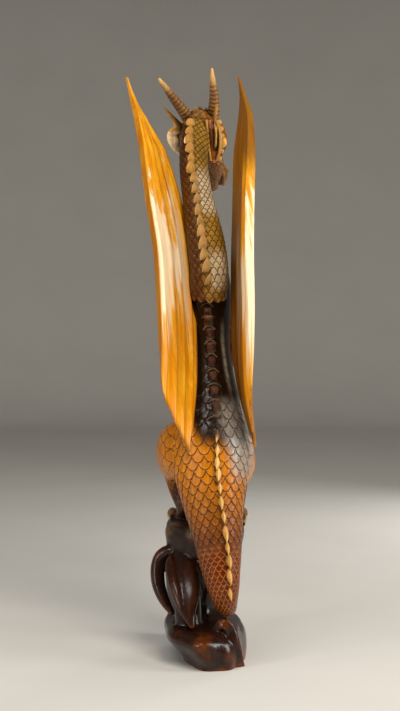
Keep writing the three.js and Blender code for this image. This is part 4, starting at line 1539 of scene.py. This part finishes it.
def body_wood(colours):
    """Varnished stained wood of dragon and rock: stained scales with dark cuts and worn pale edges."""
    material, tree, shader = new_material("stained_varnished_wood")
    node = partial(add_node, tree)
    coordinates = node("TexCoord", output="Object")
    stain = node("Attribute", output="Color", attribute_name="stain")
    names = ("scaled", "belly", "rocky", "gilt", "line", "dim", "shelter", "hollow", "recess")
    marks = {name: node("Attribute", output="Fac", attribute_name=name) for name in names}
    lattice = node("UVMap", uv_map="scale_lattice")
    column = node("SeparateXYZ", lattice)
    row = node("SeparateXYZ", lattice, output=1)
    # Cuts round the scales and between the belly plates.
    outline = scale_outline(tree, column, row, marks["line"])
    outline = node("Math", outline, marks["scaled"], operation="MULTIPLY")
    plate = node("Math", node("Math", row, BELLY_PLATES, operation="MULTIPLY"), operation="FRACT")
    seam = node("Math", 1.0, node("MapRange", plate, 0.02, 0.14, **EASED), operation="SUBTRACT")
    seam = node("Math", seam, marks["belly"], operation="MULTIPLY")
    outline = node("Math", outline, seam, operation="MAXIMUM")
    # Stain, uneven along the grain and in blotches.
    grain = wood_grain(tree, coordinates, 3.0, 60.0, 4.0)
    blotch = node("TexNoise", sockets={"Vector": coordinates, "Scale": 45.0, "Detail": 3.0})
    lighter = node("HueSaturation", sockets={"Color": stain, "Value": 1.35})
    darker = node("HueSaturation", sockets={"Color": stain, "Value": 0.6})
    streak = node("MapRange", grain, 0.35, 0.68, **EASED)
    wood = node("Mix", streak, sockets={6: darker, 7: lighter}, **COLOURS)
    wood = node("Mix", 0.5, sockets={6: wood, 7: stain}, **COLOURS)
    uneven = node("Math", node("MapRange", blotch, 0.45, 0.7, **EASED), 0.35, operation="MULTIPLY")
    wood = node("Mix", uneven, sockets={6: wood, 7: darker}, **COLOURS)
    # Bare wood on edges that stand proud, less on the dark back.
    bare = node("Mix", 0.3, sockets={6: lighter, 7: linear(colours.worn)}, **COLOURS)
    bare = node("Mix", marks["rocky"], sockets={6: bare, 7: linear(colours.rock_worn)}, **COLOURS)
    raised = node("Math", marks["hollow"], -1.0, operation="MULTIPLY")
    proud = node("Math", marks["recess"], -1.0, operation="MULTIPLY")
    lightened = node("MapRange", proud, 0.85, 1.3, **EASED)
    lightened = node("Math", lightened, marks["rocky"], operation="MULTIPLY")
    worn = node("Math", node("MapRange", raised, 0.25, 0.9, **EASED), lightened, operation="MAXIMUM")
    worn = node("Math", worn, node("MapRange", blotch, 0.3, 0.55, **EASED), operation="MULTIPLY")
    bright = node("Math", 1.0, node("Math", marks["dim"], 0.7, operation="MULTIPLY"), operation="SUBTRACT")
    worn = node("Math", node("Math", worn, bright, operation="MULTIPLY"), 0.7, operation="MULTIPLY")
    wood = node("Mix", worn, sockets={6: wood, 7: bare}, **COLOURS)
    # Dark stain left in the fine hollows and in the cuts, and painted shade in deep recesses and sheltered
    # places; on the lower tail the cuts carry a golden painted highlight instead.
    recess = node("Math", node("MapRange", marks["recess"], 0.2, 1.0, **EASED), 0.7, operation="MULTIPLY")
    shaded = node("Math", node("MapRange", marks["shelter"], 0.25, 0.8, **EASED), 0.85, operation="MULTIPLY")
    dark = node("Math", node("MapRange", marks["hollow"], 0.25, 1.0, **EASED), recess, operation="MAXIMUM")
    dark = node("Math", dark, shaded, operation="MAXIMUM")
    wood = node("Mix", dark, sockets={6: wood, 7: linear(colours.groove_and_shade)}, **COLOURS)
    cut_stains = {6: linear(colours.groove_and_shade), 7: linear(colours.gilt_line)}
    cut = node("Mix", marks["gilt"], sockets=cut_stains, **COLOURS)
    strength = node("Math", outline, 0.85, operation="MULTIPLY")
    wood = node("Mix", strength, sockets={6: wood, 7: cut}, **COLOURS)
    tree.links.new(wood, shader.inputs["Base Color"])
    # Varnish: satin on the body, glossier on the dark back and the rock.
    rough = node("MapRange", blotch, 0.3, 0.7, *VARNISH_ROUGH)
    gloss = node("Math", marks["dim"], 0.1, operation="MULTIPLY")
    rough = node("Math", rough, gloss, operation="SUBTRACT")
    gloss = node("Math", marks["rocky"], 0.13, operation="MULTIPLY")
    rough = node("Math", rough, gloss, operation="SUBTRACT")
    tree.links.new(rough, shader.inputs["Roughness"])
    shader.inputs["Specular IOR Level"].default_value = VARNISH_SHINE
    height = node("Math", node("Math", grain, 0.5, operation="MULTIPLY"), outline, operation="SUBTRACT")
    bump = node("Bump", sockets={"Strength": 0.5, "Distance": 0.0005, "Height": height})
    tree.links.new(bump, shader.inputs["Normal"])
    return material


def wing_wood(colours):
    """Varnished orange wood of the wings: straight streaky grain, brown edges, satin shine."""
    material, tree, shader = new_material("orange_varnished_wood")
    node = partial(add_node, tree)
    coordinates = node("TexCoord", output="Object")
    names = ("edge", "vein", "pale", "cream_glare_share", "shade")
    marks = {name: node("Attribute", output="Fac", attribute_name=name) for name in names}
    broad = wood_grain(tree, coordinates, 9.0, 160.0, 3.0)
    fine = wood_grain(tree, coordinates, 1.6, 110.0, 5.0)
    stains = {6: linear(colours.wing), 7: linear(colours.wing_pale)}
    wood = node("Mix", node("MapRange", broad, 0.28, 0.72, **EASED), sockets=stains, **COLOURS)
    streak = node("Math", node("MapRange", fine, 0.48, 0.72, **EASED), 0.45, operation="MULTIPLY")
    wood = node("Mix", streak, sockets={6: wood, 7: linear(colours.wing_deep)}, **COLOURS)
    vein = node("Math", marks["vein"], 0.7, operation="MULTIPLY")
    wood = node("Mix", vein, sockets={6: wood, 7: linear(colours.wing_edge)}, **COLOURS)
    # Painted highlight of the varnish's glare: cream streaks in the middle of the wing whose ends run out
    # along the grain.
    ends = node("Math", wood_grain(tree, coordinates, 5.0, 300.0, 3.0), 0.5, operation="SUBTRACT")
    ragged = node("Math", marks["pale"], node("Math", ends, 3.0, operation="MULTIPLY"), operation="ADD")
    sapwood = node("Math", node("MapRange", ragged, 0.0, 0.8, **EASED), marks["cream_glare_share"], operation="MULTIPLY")
    wood = node("Mix", sapwood, sockets={6: wood, 7: linear(colours.sapwood)}, **COLOURS)
    # Painted shade by the arm of the right wing, and darkening towards its tip.
    shade = node("Math", marks["shade"], 0.8, operation="MULTIPLY")
    wood = node("Mix", shade, sockets={6: wood, 7: linear(colours.wing_shade)}, **COLOURS)
    edge = node("Math", marks["edge"], 0.6, operation="MULTIPLY")
    wood = node("Mix", edge, sockets={6: wood, 7: linear(colours.wing_edge)}, **COLOURS)
    tree.links.new(wood, shader.inputs["Base Color"])
    rough = node("MapRange", fine, 0.3, 0.7, *VARNISH_ROUGH)
    tree.links.new(rough, shader.inputs["Roughness"])
    shader.inputs["Specular IOR Level"].default_value = VARNISH_SHINE
    bump = node("Bump", sockets={"Strength": 0.35, "Distance": 0.0004, "Height": fine})
    tree.links.new(bump, shader.inputs["Normal"])
    return material


def studio_paper(colours):
    """Matt pale paper of the floor and its sweep."""
    material, tree, shader = new_material("pale_studio_paper")
    node = partial(add_node, tree)
    coordinates = node("TexCoord", output="Object")
    mottle = node("TexNoise", sockets={"Vector": coordinates, "Scale": 6.0, "Detail": 2.0})
    pale = linear(colours.floor)
    dim = [0.9 * part for part in pale[:3]] + [1.0]
    paper = node("Mix", mottle, sockets={6: dim, 7: pale}, **COLOURS)
    tree.links.new(paper, shader.inputs["Base Color"])
    shader.inputs["Roughness"].default_value = 0.9
    shader.inputs["Specular IOR Level"].default_value = 0.2
    return material


def finish_piece(obj, node, material):
    """Gives a piece its material and ties it to the solid that it stands for."""
    obj.data.materials.clear()
    obj.data.materials.append(material)
    select_only(obj)
    bpy.ops.object.shade_smooth_by_angle(angle=math.radians(SHARP_DEG))
    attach(obj, "root")
    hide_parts(node)


class DRAGON_OT_carve_body(bpy.types.Operator):
    """Carves the dragon and the rock it stands on as one piece"""

    bl_idname = "dragon.carve_body"
    bl_label = "Carve dragon and rock"

    def execute(self, context):
        sizes = context.scene.dragon_sizes
        masses = [add_tube(FORMS["trunk"], 64, 220), add_neck()]
        masses += [add_tube(FORMS[name], 40, 60) for name in ("left_thigh", "right_thigh")]
        limbs = ("left_shank", "right_shank", "left_arm", "right_arm")
        masses += [add_tube(FORMS[name], 28, 50) for name in limbs]
        body = join(masses + add_rock_forms(), "dragon_carved")
        remesh(body, sizes.mass_voxel)
        apply_modifier(body, "SMOOTH", factor=0.5, iterations=8)
        details = add_head_forms()
        details += [add_tube(FORMS[name], 22, 50) for name in ("left_horn", "right_horn")]
        details += add_claws(LEFT_SHANK[-1], TOES, TOE_SPREAD, TOE_LENGTH, TOE_RADIUS)
        details += add_claws(RIGHT_SHANK[-1], TOES, TOE_SPREAD, TOE_LENGTH, TOE_RADIUS)
        details += add_claws(ARM[-1], FINGERS, FINGER_SPREAD, FINGER_LENGTH, FINGER_RADIUS)
        details += add_claws(mirrored(ARM)[-1], FINGERS, FINGER_SPREAD, FINGER_LENGTH, FINGER_RADIUS)
        details += add_ridge(FORMS["neck"], NECK_RIDGE, NECK_SPINES)
        details += add_ridge(FORMS["trunk"], BACK_RIDGE, BACK_SPINES)
        details += add_ridge(FORMS["trunk"], TAIL_RIDGE, TAIL_SPINES)
        details += add_arches(FORMS["trunk"], BACK_RIDGE, BACK_SPINES["pitch"])
        body = join([body] + details, "dragon_carved")
        remesh(body, sizes.fine_voxel)
        apply_modifier(body, "SMOOTH", factor=0.5, iterations=1)
        carve_relief(body, sizes.scale_relief)
        cut_flat(body, 0.0)
        apply_modifier(body, "TRIANGULATE")
        apply_modifier(body, "DECIMATE", ratio=min(1.0, sizes.triangles / len(body.data.polygons)))
        points = read_points(body)
        points[:, 2] = np.maximum(points[:, 2], 0)
        write_points(body, points)
        paint(body, context.scene.dragon_colours)
        finish_piece(body, "dragon_and_rock", body_wood(context.scene.dragon_colours))
        return {"FINISHED"}


def wing_edges(levels, heights):
    """Inner and outer edge places of a wing at given heights."""
    tops = np.array([level[0] for level in levels], float)
    curve = smooth_line([level[1:] for level in levels], 24)
    steps = np.linspace(0, len(levels) - 1, len(curve))
    along = np.interp(-heights, -tops, np.arange(len(levels)))
    rows = np.stack([np.interp(along, steps, curve[:, i]) for i in range(4)], axis=1)
    return rows[:, :2], rows[:, 2:]


def add_wing(sizes, columns, rows):
    """Pleated wing plate: fingers stand out, webs sink in, arm and rim are thickest."""
    slab, across, down, face = add_slab(columns, rows)
    places = np.array([finger[0] for finger in sizes["fingers"]])
    feet = np.array([finger[1] for finger in sizes["fingers"]], float)
    panel = np.clip(np.searchsorted(places, across, side="right") - 1, 0, len(places) - 2)
    breadth = places[panel + 1] - places[panel]
    part = (across - places[panel]) / breadth
    web = np.sin(math.pi * np.clip(part, 0, 1))
    foot = feet[panel] + (feet[panel + 1] - feet[panel]) * part
    foot = foot + WING_SCALLOP * web * np.minimum(1, breadth / 0.4)
    top = sizes["levels"][0][0]
    z = top + (foot - top) * down
    inner, outer = wing_edges(sizes["levels"], z)
    bevelled = np.where(face * sizes["outward"] > 0, across * (1 - sizes["bevel"]), across)
    plan = inner + (outer - inner) * bevelled[:, None]
    chord = unit(outer - inner)
    normal = np.stack([chord[:, 1], -chord[:, 0]], axis=1)
    fade = np.clip(down * 4, 0.25, 1)
    swell = np.sin(math.pi * np.minimum(1, down + 0.1))
    rim = sizes["rim"] * swell * smoothstep(across, WING_RIM_BEGINS, 1)
    arm = WING_ARM * (1 - WING_ARM_TAPER * down) * (1 - smoothstep(across, 0, WING_ARM_ENDS))
    slim = WING_TIP_SHARE + (1 - WING_TIP_SHARE) * smoothstep(down, 0, WING_TIP_ENDS)
    slim = slim * (1 - WING_FOOT_SLIM * smoothstep(down, WING_FOOT_BEGINS, 1))
    half = (WING_PANEL + (WING_FINGER * (1 - web) + rim + arm) * fade) * slim
    breadth_mm = np.linalg.norm(outer - inner, axis=1)
    from_edge = np.minimum(across, 1 - across) * breadth_mm / WING_EDGE
    half = half - WING_EDGE * slim * (1 - np.sqrt(1 - (1 - np.clip(from_edge, 0, 1)) ** 2))
    gouge = WING_GOUGE * np.sin(across * WING_GOUGES + 1.5 * np.sin(down * 5))
    gouge = gouge * fade * np.clip(from_edge, 0, 1)
    pleat = sizes["outward"] * WING_PLEAT * web * fade
    plan = plan + normal * (face * (half + gouge) + pleat)[:, None]
    write_points(slab, np.hstack([plan, z[:, None]]))
    return slab, across, down, face


def paint_wing(wing, shape, across, down, face):
    """Stores where a wing has brown edges, veins, a cream painted highlight of the varnish's glare, painted
    shade by the arm and a darker tip.
    """
    height = read_points(wing)[:, 2]
    inside = face * shape["outward"] < 0
    edge = smoothstep(across, *OUTER_EDGE) * (1 - shape["pale_rim"])
    edge = np.maximum(edge, 1 - smoothstep(across, *INNER_EDGE))
    edge = np.maximum(edge, smoothstep(down, *FOOT_EDGE))
    vein = np.zeros(len(across))
    for place, _ in shape["fingers"][1:-1]:
        crease = (np.abs(place - CREASE_NEAR) < 0.1) * (1 - smoothstep(down, *CREASE_FADES))
        near = 1 - smoothstep(np.abs(across - place), 0, VEIN_BREADTH)
        vein = np.maximum(vein, (0.3 + 0.7 * crease) * near)
    low, high = shape["pale"]
    from_foot = height - low + PALE_WAVE * np.sin(9 * across)
    from_top = high - height + PALE_WAVE * np.sin(7 * across + 1)
    # Cream painted highlight of the varnish's glare, stronger on the inner face, and along the right wing's
    # outer rim.
    cream_glare_share = np.where(inside, GLARE_INSIDE, GLARE_OUTSIDE) * smoothstep(across, *GLARE_BEGINS) * (1 - edge)
    cream_glare_share = np.maximum(cream_glare_share, shape["pale_rim"] * smoothstep(across, *PALE_RIM_BEGINS))
    # Painted shade on the inner face near the arm, and darkening above a height towards the tip.
    begins, ends, above = shape["shaded"]
    near_arm = (1 - smoothstep(across, begins, ends)) * inside
    write_attribute(wing.data, "edge", "FLOAT", edge)
    write_attribute(wing.data, "vein", "FLOAT", vein)
    write_attribute(wing.data, "pale", "FLOAT", np.minimum(from_foot, from_top) / PALE_FADE)
    write_attribute(wing.data, "cream_glare_share", "FLOAT", cream_glare_share)
    write_attribute(
        wing.data, "shade", "FLOAT", np.maximum(near_arm, smoothstep(height, above, above + DARK_TIP_FADE)))


def seat_wing(wing):
    """Cuts a wing back to the body, so that its root follows the back with a thin gap."""
    seats = [add_tube(FORMS["trunk"], 48, 160, grow=WING_SEAT_GAP)]
    seats.append(add_tube(FORMS["neck"], 40, 80, grow=WING_SEAT_GAP))
    seats += [add_tube(FORMS[name], 32, 40, grow=WING_SEAT_GAP) for name in ("left_thigh", "right_thigh")]
    for seat in seats:
        apply_modifier(wing, "BOOLEAN", object=seat, operation="DIFFERENCE", solver="MANIFOLD")
    select_only(*seats)
    bpy.ops.object.delete()


class DRAGON_OT_carve_wings(bpy.types.Operator):
    """Carves the two wings and fits their roots to the back"""

    bl_idname = "dragon.carve_wings"
    bl_label = "Carve wings"

    def execute(self, context):
        sizes = context.scene.dragon_sizes
        material = wing_wood(context.scene.dragon_colours)
        for name, shape in (("left_wing", LEFT_WING), ("right_wing", RIGHT_WING)):
            wing, across, down, face = add_wing(shape, sizes.wing_columns, sizes.wing_rows)
            face_outward(wing)
            paint_wing(wing, shape, across, down, face)
            seat_wing(wing)
            wing.name = name + "_carved"
            wing.data.name = wing.name
            finish_piece(wing, name, material)
        return {"FINISHED"}


def add_area_light(name, place, size, power, colour, aim, shines):
    """Soft light at a place in metres, turned to a point; its reflection can be left out."""
    bpy.ops.object.light_add(type="AREA", location=place)
    lamp = bpy.context.object
    lamp.name = name
    lamp.data.shape = "RECTANGLE"
    lamp.data.size, lamp.data.size_y = size
    lamp.data.energy = power
    lamp.data.color = colour
    lamp.visible_glossy = shines
    turn_to(lamp, aim)


def turn_to(obj, aim):
    """Turns a light or camera to look at a point."""
    away = obj.location - obj.location.__class__(aim)
    obj.rotation_euler = away.to_track_quat("Z", "Y").to_euler()


class DRAGON_OT_set_stage(bpy.types.Operator):
    """Sets floor, lights and camera"""

    bl_idname = "dragon.set_stage"
    bl_label = "Set stage"

    def execute(self, context):
        aim = [part * MM for part in AIM]
        bpy.ops.object.select_all(action="DESELECT")
        bpy.ops.mesh.primitive_grid_add(x_subdivisions=90, y_subdivisions=90, size=1.0)
        floor = context.object
        floor.name = "floor"
        floor.data.materials.append(studio_paper(context.scene.dragon_colours))
        spread = read_points(floor) * MM * STAGE_SIZE
        away = np.linalg.norm(spread[:, :2], axis=1)
        spread[:, 2] = STAGE_RISE * smoothstep(away, STAGE_FLAT, STAGE_SIZE / 2)
        write_points(floor, spread / MM)
        bpy.ops.object.shade_smooth()
        for light in LIGHTS:
            add_area_light(*light)
        world = bpy.data.worlds.new("studio")
        world.use_nodes = True
        background = world.node_tree.nodes["Background"]
        background.inputs["Color"].default_value = linear(WORLD_COLOUR)
        background.inputs["Strength"].default_value = WORLD_STRENGTH
        context.scene.view_settings.view_transform = "Standard"
        context.scene.world = world
        height = math.radians(CAMERA_HEIGHT_DEG)
        reach = CAMERA_DISTANCE * MM
        place = (aim[0], aim[1] + reach * math.cos(height), aim[2] + reach * math.sin(height))
        bpy.ops.object.camera_add(location=place)
        camera = context.object
        camera.data.sensor_width = SENSOR
        camera.data.lens = SENSOR * CAMERA_DISTANCE / IMAGE_HEIGHT
        turn_to(camera, aim)
        context.scene.camera = camera
        return {"FINISHED"}


class DRAGON_PT_carving(bpy.types.Panel):
    """Sidebar panel with the steps of the statue"""

    bl_idname = "DRAGON_PT_carving"
    bl_label = "Carved dragon"
    bl_space_type = "VIEW_3D"
    bl_region_type = "UI"
    bl_category = "Dragon"

    def draw(self, context):
        for operator in OPERATORS:
            self.layout.operator(operator.bl_idname)
        for group in (context.scene.dragon_sizes, context.scene.dragon_colours):
            for key in group.__annotations__:
                self.layout.prop(group, key)


OPERATORS = (DRAGON_OT_carve_body, DRAGON_OT_carve_wings, DRAGON_OT_set_stage)
CLASSES = (DragonSizes, DragonColours, *OPERATORS, DRAGON_PT_carving)


def register():
    """Makes the settings, operators and panel known."""
    for entry in CLASSES:
        bpy.utils.register_class(entry)
    bpy.types.Scene.dragon_sizes = bpy.props.PointerProperty(type=DragonSizes)
    bpy.types.Scene.dragon_colours = bpy.props.PointerProperty(type=DragonColours)


def unregister():
    """Takes them away again."""
    del bpy.types.Scene.dragon_colours
    del bpy.types.Scene.dragon_sizes
    for entry in reversed(CLASSES):
        bpy.utils.unregister_class(entry)


def main():
    """Builds the statue and its stage."""
    register()
    bpy.ops.dragon.carve_body()
    bpy.ops.dragon.carve_wings()
    bpy.ops.dragon.set_stage()


if __name__ == "__main__":
    main()
